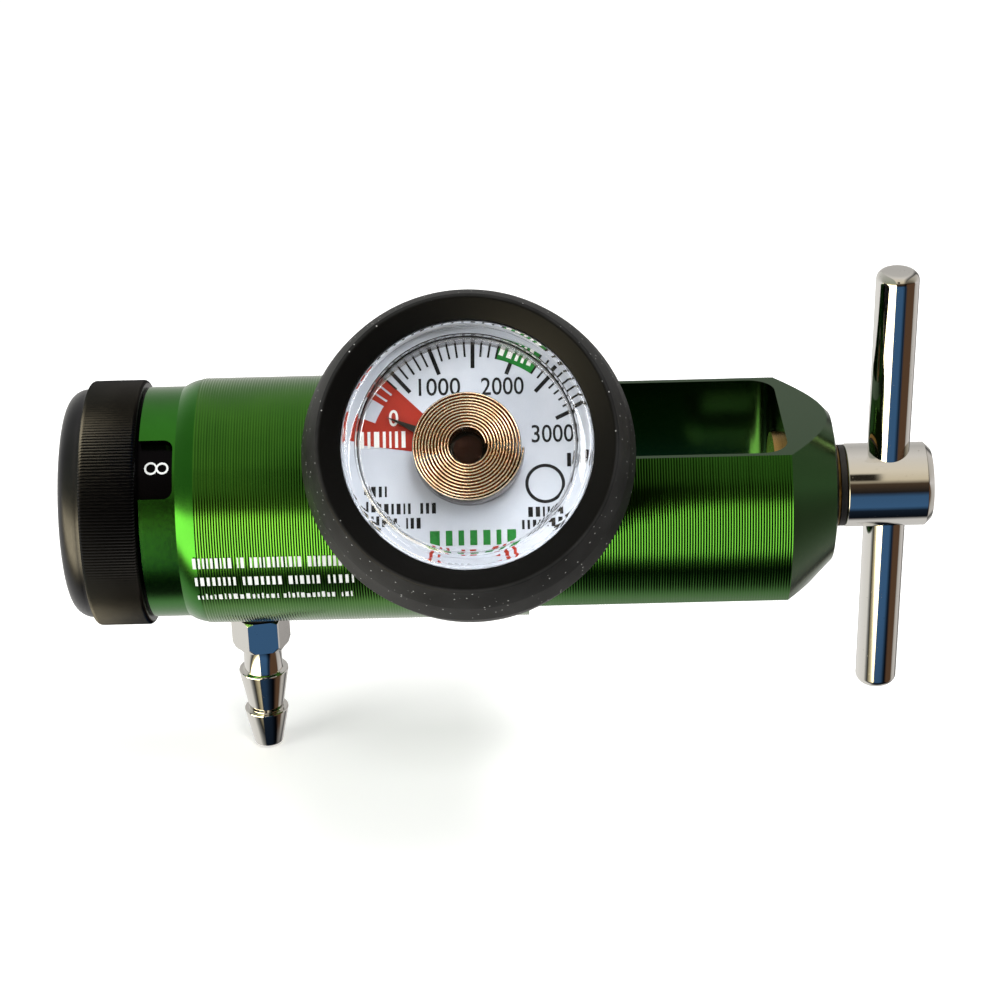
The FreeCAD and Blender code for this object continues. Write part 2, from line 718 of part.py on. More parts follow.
def detent_ball():
    """Steel ball of the click stop, seated in a dimple."""
    return Part.makeSphere(BALL_R, Vector(BALL_X, 0, DETENT_RADIUS))


def detent_spring():
    """Small spring behind the ball."""
    x0 = BALL_X + BALL_R + FACE_GAP
    x1 = detent_floor_x() - FACE_GAP
    spring = coil_spring(x0, x1, DETENT_SPRING_R, DETENT_SPRING_WIRE_R, DETENT_SPRING_TURNS)
    spring.translate(Vector(0, 0, DETENT_RADIUS))
    return spring


def retaining_ring():
    """Split ring that holds the flow housing in its bore."""
    outer_r = BORE_R + RING_DEPTH - FACE_GAP
    ring = rod(RING_END_X, HOUSING_END_X, outer_r).cut(rod(RING_END_X, HOUSING_END_X, RING_INNER_R))
    half = RING_OPENING / 2
    return ring.cut(box((RING_END_X, HOUSING_END_X), (-half, half), (-BODY_R, 0)))


def knob():
    """Flow knob: grip band, stepped and rounded front, hollow back with a central boss."""
    solid = turned([
        (KNOB_FRONT_X, 0),
        (KNOB_FRONT_X, FRONT_R),
        (BAND_END_X, FRONT_R),
        (BAND_END_X, KNURL_R),
        (KNOB_X, KNURL_R),
        (KNOB_X, 0),
    ])
    solid = solid.makeFillet(FRONT_FILLET_R, rims(solid, KNOB_FRONT_X, FRONT_R))
    solid = solid.makeFillet(KNURL_EDGE_R, rims(solid, KNOB_X, KNURL_R) + rims(solid, BAND_END_X, KNURL_R))
    cavity_end = KNOB_X - KNOB_CAVITY
    cavity = rod(cavity_end, KNOB_X, DIAL_RING_R - DIAL_RING_WALL)
    cavity = cavity.cut(rod(cavity_end, BOSS_X, KNOB_BOSS_R))
    bore_end = SHAFT_END_X - SET_GAP
    keyed = rod(bore_end, BOSS_X, SHAFT_R + GRIP_GAP)
    keyed = keyed.cut(box((bore_end, BOSS_X), (-KNOB_BOSS_R, KNOB_BOSS_R), (SHAFT_FLAT + FACE_GAP, KNOB_BOSS_R)))
    return solid.cut([
        cavity,
        rod(KNOB_X - DIAL_RING_SOCKET, KNOB_X, DIAL_RING_R),
        keyed,
        rod(SCREW_SEAT_X, bore_end, SCREW_R + SET_GAP),
        rod(KNOB_FRONT_X, SCREW_SEAT_X, SCREW_HEAD_R + FREE_GAP),
    ])


def rims(shape, x, r):
    """The circular edges about the body's axis at one station and radius."""
    found = []
    for edge in shape.Edges:
        curve = edge.Curve
        if isinstance(curve, Part.Circle) and abs(curve.Radius - r) < 1e-4 and abs(curve.Center.x - x) < 1e-4:
            found.append(edge)
    return found


def number_ring():
    """Ring with the flow numbers, seated in the knob and read through the neck's window."""
    x0 = KNOB_X - DIAL_RING_SOCKET
    x1 = DIAL_RING_END_X
    return rod(x0, x1, DIAL_RING_R).cut(rod(x0, x1, DIAL_RING_R - DIAL_RING_WALL))


def knob_screw():
    """Socket-head screw that draws the knob onto its shaft."""
    head_x = SCREW_SEAT_X - SCREW_HEAD
    solid = turned([
        (head_x, 0),
        (head_x, SCREW_HEAD_R),
        (SCREW_SEAT_X, SCREW_HEAD_R),
        (SCREW_SEAT_X, SCREW_R),
        (SCREW_SEAT_X + SCREW_LENGTH, SCREW_R),
        (SCREW_SEAT_X + SCREW_LENGTH, 0),
    ])
    socket = hexagon(2 * SCREW_SOCKET_R * math.cos(math.pi / 6), 0, SCREW_SOCKET_DEPTH)
    socket.rotate(Vector(), Vector(0, 1, 0), 90)
    socket.translate(Vector(head_x, 0, 0))
    return solid.cut(socket)


def outlet_barb():
    """Hose barb with its hexagon, built up along Z and turned to point down."""
    spot = BODY_R - BARB_SPOT_DEPTH
    hex_z = spot + BARB_SEAL_SECTION + FACE_GAP
    hex_end = hex_z + HEX_LENGTH
    ridge = hex_end + BARB_NECK_LENGTH
    waist = ridge + BARB_RIDGE_LENGTH
    tip = waist + BARB_TIP_LENGTH
    stem = turned_up([
        (BORE_R + BARB_STEM_GAP, 0),
        (BORE_R + BARB_STEM_GAP, BARB_STEM_R),
        (spot, BARB_STEM_R),
        (spot, BARB_GROOVE_R),
        (hex_z, BARB_GROOVE_R),
        (hex_z, BARB_NECK_R),
        (ridge, BARB_NECK_R),
        (ridge, BARB_RIDGE_R),
        (waist, BARB_WAIST_R),
        (waist, BARB_TIP_RIDGE_R),
        (tip, BARB_TIP_R),
        (tip, 0),
    ])
    corner_r = HEX_FLATS / 2 / math.cos(math.pi / 6)
    chamfer = corner_r - HEX_CHAMFER_R
    envelope = turned_up([
        (hex_z, 0),
        (hex_z, HEX_CHAMFER_R),
        (hex_z + chamfer, corner_r),
        (hex_end - 2 * chamfer, corner_r),
        (hex_end, HEX_CHAMFER_R),
        (hex_end, 0),
    ])
    nut = hexagon(HEX_FLATS, hex_z, hex_end)
    nut.rotate(Vector(), Z_AXIS, HEX_TURN)
    barb = stem.fuse(nut.common(envelope)).removeSplitter()
    barb = barb.cut(post(0, tip, BARB_BORE_R))
    return tilted(barb, 180, BARB_X)


def barb_seal():
    """Black O-ring between the barb's hexagon and the body."""
    middle_r = BARB_GROOVE_R + BARB_SEAL_SECTION / 2
    middle_z = BODY_R - BARB_SPOT_DEPTH + BARB_SEAL_SECTION / 2
    ring = Part.makeTorus(middle_r, BARB_SEAL_SECTION / 2, Vector(0, 0, middle_z), Z_AXIS)
    return tilted(ring, 180, BARB_X)


def screw_bushing():
    """Threaded brass bushing, flanged inside the yoke and proud of its end face."""
    x0 = SLOT_LENGTH - BUSHING_FLANGE
    solid = turned([
        (x0, 0),
        (x0, BUSHING_FLANGE_R),
        (SLOT_LENGTH, BUSHING_FLANGE_R),
        (SLOT_LENGTH, BUSHING_R),
        (END_FACE_X, BUSHING_R),
        (BUSHING_END_X, BUSHING_R - BUSHING_PROUD),
        (BUSHING_END_X, 0),
    ])
    return solid.cut(rod(x0, BUSHING_END_X, SHANK_R + RUN_GAP))


def bumper_ring():
    """Black ring carried under the screw's hub."""
    x1 = BUMPER_X + BUMPER_THICKNESS
    return rod(BUMPER_X, x1, BUMPER_R).cut(rod(BUMPER_X, x1, SHANK_R + RUN_GAP))


def yoke_screw():
    """Clamping screw: threaded shank, blunt nose and plain hub, turned in one piece."""
    nose_x = SLOT_LENGTH - BUSHING_FLANGE - SCREW_TRAVEL - NOSE_LENGTH
    solid = turned([
        (nose_x, 0),
        (nose_x, NOSE_R),
        (nose_x + NOSE_LENGTH, SHANK_R),
        (HUB_X, SHANK_R),
        (HUB_X, HUB_R - HUB_EDGE),
        (HUB_X + HUB_EDGE, HUB_R),
        (HUB_END_X - HUB_CHAMFER, HUB_R),
        (HUB_END_X, HUB_R - HUB_CHAMFER),
        (HUB_END_X, 0),
    ])
    return solid.cut(tilted(post(-HUB_R, HUB_R, TOMMY_R), TOMMY_TILT, TOMMY_X))


def tommy_bar():
    """Bar pressed through the hub, with rounded ends."""
    half = TOMMY_LENGTH / 2
    flat_r = TOMMY_R - TOMMY_EDGE_R
    bend = TOMMY_EDGE_R * (1 - math.sqrt(0.5))
    bar = turned_up([
        (-half, 0),
        (-half, flat_r),
        (-half + TOMMY_EDGE_R, TOMMY_R, -half + bend, TOMMY_R - bend),
        (half - TOMMY_EDGE_R, TOMMY_R),
        (half, flat_r, half - bend, TOMMY_R - bend),
        (half, 0),
    ])
    return tilted(bar, TOMMY_TILT, TOMMY_X)


def on_gauge(shape):
    """A gauge piece set on the gauge's axis."""
    return tilted(shape, GAUGE_TILT, GAUGE_X)


def gauge_socket():
    """Brass stem, square shank, block under the dial and post that carries the coil."""
    half = SHANK_FLATS / 2
    solid = turned_up([
        (GAUGE_STEM_Z, 0),
        (GAUGE_STEM_Z, GAUGE_STEM_R),
        (CASE_Z, GAUGE_STEM_R),
        (CASE_Z, SOCKET_R),
        (DIAL_Z, SOCKET_R),
        (DIAL_Z, POST_R),
        (POINTER_TOP_Z + POST_TOP, POST_R),
        (POINTER_TOP_Z + POST_TOP, 0),
    ])
    square = box((-half, half), (-half, half), (SPOT_Z, CASE_Z))
    square = square.common(post(SPOT_Z, CASE_Z, SPOT_R - SET_GAP))
    bore = post(GAUGE_STEM_Z, DIAL_Z, GAUGE_PORT_R)
    return on_gauge(solid.fuse(square).removeSplitter().cut(bore))


def gauge_seal():
    """O-ring around the gauge's stem, under the shank."""
    middle_r = GAUGE_STEM_R + SET_GAP / 2 + GAUGE_SEAL_SECTION / 2
    return on_gauge(Part.makeTorus(middle_r, GAUGE_SEAL_SECTION / 2,
                                   Vector(0, 0, SPOT_Z - GAUGE_SEAL_SECTION / 2), Z_AXIS))


def gauge_case():
    """Drawn steel cup of the gauge."""
    inner_r = CASE_R - CASE_WALL
    floor_z = CASE_Z + CASE_WALL
    solid = post(CASE_Z, FLANGE_Z, CASE_R).cut(post(floor_z, FLANGE_Z, inner_r))
    return on_gauge(solid.cut(post(CASE_Z, floor_z, SOCKET_R)))


def dial_plate():
    """Dial with its centre hole."""
    hole_r = POST_R + FREE_GAP
    return on_gauge(post(DIAL_Z, PRINT_Z, DIAL_PLATE_R).cut(post(DIAL_Z, PRINT_Z, hole_r)))


def mark_angle(number):
    """Where a mark stands on the scale, in degrees anticlockwise from +X."""
    return ZERO_ANGLE - ANGLE_PER_MARK * number


def field(inner_r, angle0, angle1):
    """A layer of ink from an inner radius to the print's edge, over part of a turn."""
    sector = Part.makeCylinder(PRINT_R, INK, Vector(0, 0, PRINT_Z), Z_AXIS, angle1 - angle0)
    sector.rotate(Vector(), Z_AXIS, angle0)
    return sector.cut(post(PRINT_Z, PRINT_Z + INK, inner_r))


def mark(number):
    """One scale mark, bold at each fifth."""
    bold = number % MARKS_PER_BOLD == 0
    inner_r = BOLD_INNER_R if bold else FINE_INNER_R
    half = (BOLD_WIDTH if bold else FINE_WIDTH) / 2
    bar = box((inner_r, PRINT_R), (-half, half), (PRINT_Z, PRINT_Z + INK))
    bar.rotate(Vector(), Z_AXIS, mark_angle(number))
    return bar


def on_dial(print_shape):
    """Print moved to its own centre on the dial plate and set on the gauge's axis."""
    shifted = print_shape.copy()
    shifted.translate(Vector(PRINT_SHIFT_X, PRINT_SHIFT_Y, 0))
    return on_gauge(shifted)


def red_field():
    """Low-contents field, with a bare block at zero and two bare marks."""
    block = field(FINE_INNER_R, ZERO_ANGLE - BLOCK_HALF_ANGLE, ZERO_ANGLE + BLOCK_HALF_ANGLE)
    bare = [mark(number) for number in BLANK_MARKS]
    return on_dial(field(RED_INNER_R, mark_angle(FIRST_MARK), RED_TO).cut([block, mark(FIRST_MARK)] + bare))


def green_field():
    """Full-contents field near the rim, between two marks."""
    first, last = GREEN_MARKS
    sector = field(FINE_INNER_R, mark_angle(last), mark_angle(first))
    return on_dial(sector.cut([mark(first), mark(last)]))


def scale_marks():
    """Black marks of the pressure scale, left out where the green field covers them."""
    first, last = GREEN_MARKS
    bars = []
    for number in range(FIRST_MARK, MARKS + 1):
        bar = mark(number)
        if first < number < last:
            bar = bar.common(post(PRINT_Z, PRINT_Z + INK, FINE_INNER_R))
        bars += bar.Solids
    return on_dial(Part.makeCompound(bars))


def gauge_pointer():
    """Pointer: a ring on the post and a tapered needle, resting near zero."""
    ring = post(POINTER_Z, POINTER_TOP_Z, POINTER_RING_R)
    half = POINTER_WIDTH / 2
    corners = [(0, -half), (POINTER_RING_R, -half), (POINTER_LENGTH, 0), (POINTER_RING_R, half), (0, half), (0, -half)]
    wire = Part.makePolygon([Vector(x, y, POINTER_Z) for x, y in corners])
    needle = Part.Face(wire).extrude(Vector(0, 0, POINTER_THICKNESS))
    pointer = ring.fuse(needle).removeSplitter().cut(post(POINTER_Z, POINTER_TOP_Z, POST_R + RUN_GAP))
    pointer.rotate(Vector(), Z_AXIS, POINTER_ANGLE)
    return on_gauge(pointer)


def spiral_edges(start_r, step, halves, forward):
    """Half circles that grow by one step each, joined end to end."""
    edges = []
    for k in range(halves):
        side = -1 if k % 2 else 1
        near = Vector(side * (start_r + k * step), 0, COIL_Z)
        far = Vector(-side * (start_r + (k + 1) * step), 0, COIL_Z)
        centre = (near + far) * 0.5
        middle = centre + Vector(0, side * (start_r + (k + 0.5) * step), 0)
        edges.append(Part.Arc(near, middle, far).toShape())
    return edges if forward else edges[::-1]


def bourdon_coil():
    """Flat strip wound in a spiral, which turns the pointer as it unwinds."""
    halves = 2 * COIL_TURNS
    step = (COIL_R - COIL_HOLE_R - COIL_STRIP) / halves
    inner = spiral_edges(COIL_HOLE_R, step, halves, True)
    outer = spiral_edges(COIL_HOLE_R + COIL_STRIP, step, halves, False)
    near = Part.LineSegment(inner[0].Vertexes[0].Point, outer[-1].Vertexes[0].Point).toShape()
    far = Part.LineSegment(inner[-1].Vertexes[-1].Point, outer[0].Vertexes[-1].Point).toShape()
    wire = Part.Wire(Part.__sortEdges__(inner + [far] + outer + [near]))
    return on_gauge(Part.Face(wire).extrude(Vector(0, 0, COIL_HEIGHT)))


def gauge_lens():
    """Clear cap: stepped face, rounded shoulder, wall down to the dial and clamped flange."""
    inner_r = LENS_R - LENS_WALL
    bend = LENS_SHOULDER_R * (1 - math.sqrt(0.5))
    foot_z = PRINT_Z + INK + FACE_GAP
    step_r = LENS_STEP_R + LENS_STEP_WIDTH
    low_z = LENS_Z - LENS_STEP_DEPTH
    top_z = FLANGE_Z + LENS_FLANGE
    return on_gauge(turned_up([
        (LENS_IN_Z, 0),
        (LENS_IN_Z, inner_r - LENS_SHOULDER_R),
        (LENS_IN_Z - LENS_SHOULDER_R, inner_r, LENS_IN_Z - bend, inner_r - bend),
        (foot_z, inner_r),
        (foot_z, LENS_R),
        (FLANGE_Z, LENS_R),
        (FLANGE_Z, CASE_R),
        (top_z, CASE_R),
        (top_z, LENS_R),
        (low_z - LENS_SHOULDER_R, LENS_R),
        (low_z, LENS_R - LENS_SHOULDER_R, low_z - bend, LENS_R - bend),
        (low_z, step_r),
        (LENS_Z, LENS_STEP_R),
        (LENS_Z, 0),
    ]))


def gauge_boot():
    """Rubber boot: sloping lip over the lens, raised ridge, flared side and rounded back."""
    bend = BOOT_CORNER_R * (1 - math.sqrt(0.5))
    lip_z = FLANGE_Z + LENS_FLANGE
    flare_mid_r = (BOOT_R + BOOT_RIDGE_R) / 2 + BOOT_BULGE
    ridge_r = BOOT_RIDGE_R + BOOT_RIDGE_EDGE
    return on_gauge(turned_up([
        (BOOT_Z, BOOT_HOLE_R),
        (BOOT_Z, BOOT_BACK_R - BOOT_CORNER_R),
        (BOOT_Z + BOOT_CORNER_R, BOOT_BACK_R, BOOT_Z + bend, BOOT_BACK_R - bend),
        (FLARE_Z, BOOT_R),
        (RIDGE_Z, ridge_r, (FLARE_Z + RIDGE_Z) / 2, flare_mid_r),
        (RIDGE_Z, BOOT_RIDGE_R),
        (LENS_Z, LENS_R),
        (lip_z, LENS_R),
        (lip_z, CASE_R),
        (CASE_Z, CASE_R),
        (CASE_Z, BOOT_HOLE_R),
    ]))


PIECES = {
    "regulator_body": regulator_body,
    "inlet_sleeve": inlet_sleeve,
    "inlet_filter": inlet_filter,
    "seal_ring": seal_ring,
    "seal_core": seal_core,
    "index_pins": index_pins,
    "piston": piston,
    "piston_head_seal": piston_head_seal,
    "piston_stem_seal": piston_stem_seal,
    "valve_seat": valve_seat,
    "piston_spring": piston_spring,
    "flow_housing": flow_housing,
    "housing_seal": housing_seal,
    "shaft_seal": shaft_seal,
    "pickup_seal": pickup_seal,
    "orifice_disc": orifice_disc,
    "selector_shaft": selector_shaft,
    "detent_ball": detent_ball,
    "detent_spring": detent_spring,
    "retaining_ring": retaining_ring,
    "knob": knob,
    "number_ring": number_ring,
    "knob_screw": knob_screw,
    "outlet_barb": outlet_barb,
    "barb_seal": barb_seal,
    "screw_bushing": screw_bushing,
    "bumper_ring": bumper_ring,
    "yoke_screw": yoke_screw,
    "tommy_bar": tommy_bar,
    "gauge_socket": gauge_socket,
    "gauge_seal": gauge_seal,
    "gauge_case": gauge_case,
    "dial_plate": dial_plate,
    "dial_red_field": red_field,
    "dial_green_field": green_field,
    "dial_scale_marks": scale_marks,
    "gauge_pointer": gauge_pointer,
    "bourdon_coil": bourdon_coil,
    "gauge_lens": gauge_lens,
    "gauge_boot": gauge_boot,
}


def main():
    """Write each piece to its own file and say how large it is."""
    os.makedirs("parts", exist_ok=True)
    for name, make in PIECES.items():
        shape = make()
        bounds = shape.BoundBox
        print(f"{name}: {len(shape.Solids)} solid, {shape.Volume:.1f} mm3, valid {shape.isValid()}, "
              f"X {bounds.XMin:.2f} to {bounds.XMax:.2f}")
        shape.exportStep(f"parts/{name}.step")


main()
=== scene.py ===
"""Looks of a pin-index yoke oxygen regulator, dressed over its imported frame.

Sizes are millimetres in the row frame: +X runs along the body to the T-handle,
+Z is the way the cylinder valve's post passes, and the front is -Y. They turn
to metres where a mesh is made.
"""
from __future__ import annotations

import logging
import math
from collections.abc import Callable, Iterable, Sequence
from dataclasses import dataclass
from enum import Enum

import bmesh
import bpy
import numpy as np
from mathutils import Matrix, Vector

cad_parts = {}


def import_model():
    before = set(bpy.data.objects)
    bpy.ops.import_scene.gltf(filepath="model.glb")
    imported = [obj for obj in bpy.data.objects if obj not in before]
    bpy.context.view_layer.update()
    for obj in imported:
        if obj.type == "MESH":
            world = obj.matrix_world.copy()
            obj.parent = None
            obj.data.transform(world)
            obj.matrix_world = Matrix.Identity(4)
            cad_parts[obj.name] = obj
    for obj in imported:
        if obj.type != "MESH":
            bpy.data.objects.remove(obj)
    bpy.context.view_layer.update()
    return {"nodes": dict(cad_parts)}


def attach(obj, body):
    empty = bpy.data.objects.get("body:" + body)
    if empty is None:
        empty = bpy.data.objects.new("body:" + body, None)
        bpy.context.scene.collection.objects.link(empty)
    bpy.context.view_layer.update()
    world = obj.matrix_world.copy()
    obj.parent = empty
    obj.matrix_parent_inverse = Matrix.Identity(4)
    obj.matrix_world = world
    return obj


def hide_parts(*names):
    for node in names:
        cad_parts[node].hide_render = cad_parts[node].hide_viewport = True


MM = 0.001
# Points nearer to each other than this many metres are joined.
SAME_PLACE = 1e-7
LOG = logging.getLogger("regulator")
Colour = tuple[float, float, float, float]
# A new radius from heights, radii and angles.
Reshape = Callable[[np.ndarray, np.ndarray, np.ndarray], np.ndarray]

# The gauge's and the barb's stations along the body, in mm, and the gauge's lean in degrees.
GAUGE_X = -8.0
GAUGE_TILT = 55.0
BARB_X = -42.0


class Body(Enum):
    """The moving bodies of the frame."""

    REGULATOR = "regulator"
    KNOB = "flow_knob"
    HANDLE = "t_handle"


class Slot(Enum):
    """The record's material slots, one named for each new piece."""

    GREEN = "green_anodised"
    BLACK = "black_anodised"
    CHROME = "chrome"
    RUBBER = "black_rubber"
    DIAL = "dial_white"
    RED = "dial_red"
    GREEN_INK = "dial_green"
    BLACK_INK = "dial_black"
    COIL = "copper_alloy"


def linear(hex_colour: str) -> Colour:
    """An sRGB hex colour as linear values.

    Args:
        hex_colour: Six hex digits after a hash sign.

    Returns:
        Red, green, blue and an alpha of one.
    """
    raw = np.array([int(hex_colour[i:i + 2], 16) for i in (1, 3, 5)]) / 255
    low = raw / 12.92
    high = ((raw + 0.055) / 1.055) ** 2.4
    return (*np.where(raw <= 0.04045, low, high).tolist(), 1.0)


def add(tree: bpy.types.NodeTree, kind: str, inputs: dict | None = None,
        stops: Sequence[tuple[float, str]] = (), **settings) -> bpy.types.Node:
    """Adds a node, sets its options, and sets or links its inputs.

    Args:
        tree: The tree that gets the node.
        kind: The node's type without its ShaderNode prefix.
        inputs: Values, or the output sockets to link, by the input's name or number.
        stops: For a colour ramp, its positions and hex colours.
        settings: The node's own options.

    Returns:
        The new node.
    """
    node = tree.nodes.new("ShaderNode" + kind)
    for name, value in settings.items():
        setattr(node, name, value)
    for key, value in (inputs or {}).items():
        if isinstance(value, bpy.types.NodeSocket):
            tree.links.new(value, node.inputs[key])
        else:
            node.inputs[key].default_value = value
    for i, (place, colour) in enumerate(stops):
        elements = node.color_ramp.elements
        stop = elements[i] if i < 2 else elements.new(place)
        stop.position = place
        stop.color = linear(colour)
    return node


def leaned(degrees: float) -> tuple[float, float, float]:
    """The direction at an angle from +Z towards the front."""
    turn = math.radians(degrees)
    return (0.0, -math.sin(turn), math.cos(turn))


def from_gauge_axis(tree: bpy.types.NodeTree, place: bpy.types.NodeSocket) -> bpy.types.NodeSocket:
    """The way from the nearest point of the gauge's axis to a place.

    Args:
        tree: The material's tree.
        place: Object coordinates, in metres.

    Returns:
        A vector whose length is the distance from the axis.
    """
    line = add(tree, "VectorMath", {0: place, 1: (GAUGE_X * MM, 0.0, 0.0)}, operation="SUBTRACT")
    foot = add(tree, "VectorMath", {0: line.outputs[0], 1: leaned(GAUGE_TILT)}, operation="PROJECT")
    way = add(tree, "VectorMath", {0: line.outputs[0], 1: foot.outputs[0]}, operation="SUBTRACT")
    return way.outputs[0]


@dataclass(frozen=True)
class Finish:
    """What a surface is made of and how it was made."""

    name: str
    colour: str
    roughness: float

    def material(self) -> bpy.types.Material:
        """The finish as a material, made once and shared.

        Returns:
            The material.
        """
        made = bpy.data.materials.get(self.name)
        if made is None:
            made = bpy.data.materials.new(self.name)
            made.use_nodes = True
            tree = made.node_tree
            shader = tree.nodes["Principled BSDF"]
            shader.inputs["Base Color"].default_value = linear(self.colour)
            shader.inputs["Roughness"].default_value = self.roughness
            self.pattern(tree, shader, add(tree, "TexCoord").outputs["Object"])
        return made

    def pattern(self, tree: bpy.types.NodeTree, shader: bpy.types.Node,
                place: bpy.types.NodeSocket) -> None:
        """Adds the finish's own nodes.

        Args:
            tree: The material's tree.
            shader: Its surface shader.
            place: Object coordinates, in metres.
        """


@dataclass(frozen=True)
class WorkedMetal(Finish):
    """A metal with its tool's marks: fine lines at a spacing, which scatter light across them."""

    dark: str = "#000000"
    mark_mm: tuple[float, float, float] = (0.06, 1.5, 1.5)
    depth_mm: float = 0.003
    spread: float = 0.1
    drift_mm: float = 9.0

    def pattern(self, tree: bpy.types.NodeTree, shader: bpy.types.Node,
                place: bpy.types.NodeSocket) -> None:
        """Tool marks as stretched noise in the height and the roughness, and a slow drift of colour.

        Args:
            tree: The material's tree.
            shader: Its surface shader.
            place: Object coordinates, in metres.
        """
        shader.inputs["Metallic"].default_value = 1.0
        scale = tuple(1 / (size * MM) for size in self.mark_mm)
        marks = add(tree, "Mapping", {"Vector": place, "Scale": scale}).outputs[0]
        lines = add(tree, "TexNoise", {"Vector": marks, "Scale": 1.0, "Detail": 2.0}).outputs[0]
        height = add(tree, "Bump", {"Height": lines, "Strength": 0.6, "Distance": self.depth_mm * MM})
        low, high = self.roughness - self.spread / 2, self.roughness + self.spread / 2
        rough = add(tree, "MapRange", {"Value": lines, "From Min": 0.3, "From Max": 0.7,
                                       "To Min": low, "To Max": high})
        slow = 1 / (self.drift_mm * MM)
        drift = add(tree, "TexNoise", {"Vector": place, "Scale": slow, "Detail": 3.0}).outputs[0]
        tint = add(tree, "ValToRGB", {"Fac": drift}, stops=[(0.25, self.dark), (0.75, self.colour)])
        tree.links.new(height.outputs[0], shader.inputs["Normal"])
        tree.links.new(rough.outputs[0], shader.inputs["Roughness"])
        tree.links.new(tint.outputs[0], shader.inputs["Base Color"])


@dataclass(frozen=True)
class Anodised(WorkedMetal):
    """Dyed aluminium under its clear oxide: green metal below, a faint white gloss on top."""

    yoke: str = "#000000"
    yoke_from_mm: float = -14.0
    yoke_to_mm: float = 6.0
    coat: float = 0.5
    coat_roughness: float = 0.2

    def pattern(self, tree: bpy.types.NodeTree, shader: bpy.types.Node,
                place: bpy.types.NodeSocket) -> None:
        """The worked metal, its colour led over to a deeper one along the yoke, under a coat.

        Args:
            tree: The material's tree.
            shader: Its surface shader.
            place: Object coordinates, in metres.
        """
        super().pattern(tree, shader, place)
        x = add(tree, "SeparateXYZ", {0: place}).outputs[0]
        far = add(tree, "MapRange", {"Value": x, "From Min": self.yoke_from_mm * MM,
                                     "From Max": self.yoke_to_mm * MM}).outputs[0]
        barrel = shader.inputs["Base Color"].links[0].from_socket
        mixed = add(tree, "MixRGB", {0: far, 1: barrel, 2: linear(self.yoke)})
        tree.links.new(mixed.outputs[0], shader.inputs["Base Color"])
        shader.inputs["Coat Weight"].default_value = self.coat
        shader.inputs["Coat Roughness"].default_value = self.coat_roughness


@dataclass(frozen=True)
class RolledStrip(WorkedMetal):
    """Bronze strip on edge: top edges painted pale as a highlight, flanks orange, the outermost one painted
    dark as shade.
    """

    # Orange of the flanks: partly the bronze, partly painted reflection of the turns in each other.
    flank: str = "#000000"
    # Painted shade: the dark brown of the outermost turn's outward flank.
    outer_shade: str = "#4d331c"
    edge_mm: float = 41.8
    fade_mm: float = 0.1
    outer_mm: float = 7.2

    def pattern(self, tree: bpy.types.NodeTree, shader: bpy.types.Node,
                place: bpy.types.NodeSocket) -> None:
        """The worked metal above a height on the gauge's axis, painted pale there as a highlight on the top
        edges, and the flanks' colours below it.

        A flank beyond the outer radius that faces away from the axis gets the painted shade colour.

        Args:
            tree: The material's tree.
            shader: Its surface shader.
            place: Object coordinates, in metres.
        """
        super().pattern(tree, shader, place)
        height = add(tree, "VectorMath", {0: place, 1: leaned(GAUGE_TILT)}, operation="DOT_PRODUCT")
        edge = add(tree, "MapRange", {"Value": height.outputs["Value"],
                                      "From Min": (self.edge_mm - self.fade_mm) * MM,
                                      "From Max": (self.edge_mm + self.fade_mm) * MM}).outputs[0]
        radial = from_gauge_axis(tree, place)
        reach = add(tree, "VectorMath", {0: radial}, operation="LENGTH").outputs["Value"]
        normal = add(tree, "NewGeometry").outputs["Normal"]
        outward = add(tree, "VectorMath", {0: radial, 1: normal}, operation="DOT_PRODUCT")
        faces_out = add(tree, "Math", {0: outward.outputs["Value"], 1: 0.0}, operation="GREATER_THAN")
        outermost = add(tree, "Math", {0: reach, 1: self.outer_mm * MM}, operation="GREATER_THAN")
        # Painted shade: outward faces of the outermost turn.
        shaded = add(tree, "Math", {0: faces_out.outputs[0], 1: outermost.outputs[0]},
                   operation="MULTIPLY").outputs[0]
        side = add(tree, "MixRGB", {0: shaded, 1: linear(self.flank), 2: linear(self.outer_shade)}).outputs[0]
        bright = shader.inputs["Base Color"].links[0].from_socket
        # Painted highlight: the top edges take the pale colour, the flanks below keep theirs.
        mixed = add(tree, "MixRGB", {0: edge, 1: side, 2: bright})
        tree.links.new(mixed.outputs[0], shader.inputs["Base Color"])


@dataclass(frozen=True)
class Plated(Finish):
    """Chrome plate on turned brass: a clear mirror with a faint swell and a few dull pits."""

    pit: str = "#7d7668"
    pit_mm: float = 0.35
    swell_mm: float = 2.5

    def pattern(self, tree: bpy.types.NodeTree, shader: bpy.types.Node,
                place: bpy.types.NodeSocket) -> None:
        """Pits where small noise runs high, over a slow swell in the height.

        Args:
            tree: The material's tree.
            shader: Its surface shader.
            place: Object coordinates, in metres.
        """
        shader.inputs["Metallic"].default_value = 1.0
        long, short = 1 / (self.swell_mm * MM), 1 / (self.pit_mm * MM)
        swell = add(tree, "TexNoise", {"Vector": place, "Scale": long, "Detail": 2.0})
        pits = add(tree, "TexNoise", {"Vector": place, "Scale": short, "Detail": 1.0}).outputs[0]
        colour = add(tree, "ValToRGB", {"Fac": pits}, stops=[(0.76, self.colour), (0.82, self.pit)])
        rough = add(tree, "MapRange", {"Value": pits, "From Min": 0.7, "From Max": 0.85,
                                       "To Min": self.roughness, "To Max": self.roughness + 0.3})
        height = add(tree, "Bump", {"Height": swell.outputs[0], "Strength": 0.5, "Distance": 0.01 * MM})
        tree.links.new(colour.outputs[0], shader.inputs["Base Color"])
        tree.links.new(rough.outputs[0], shader.inputs["Roughness"])
        tree.links.new(height.outputs[0], shader.inputs["Normal"])


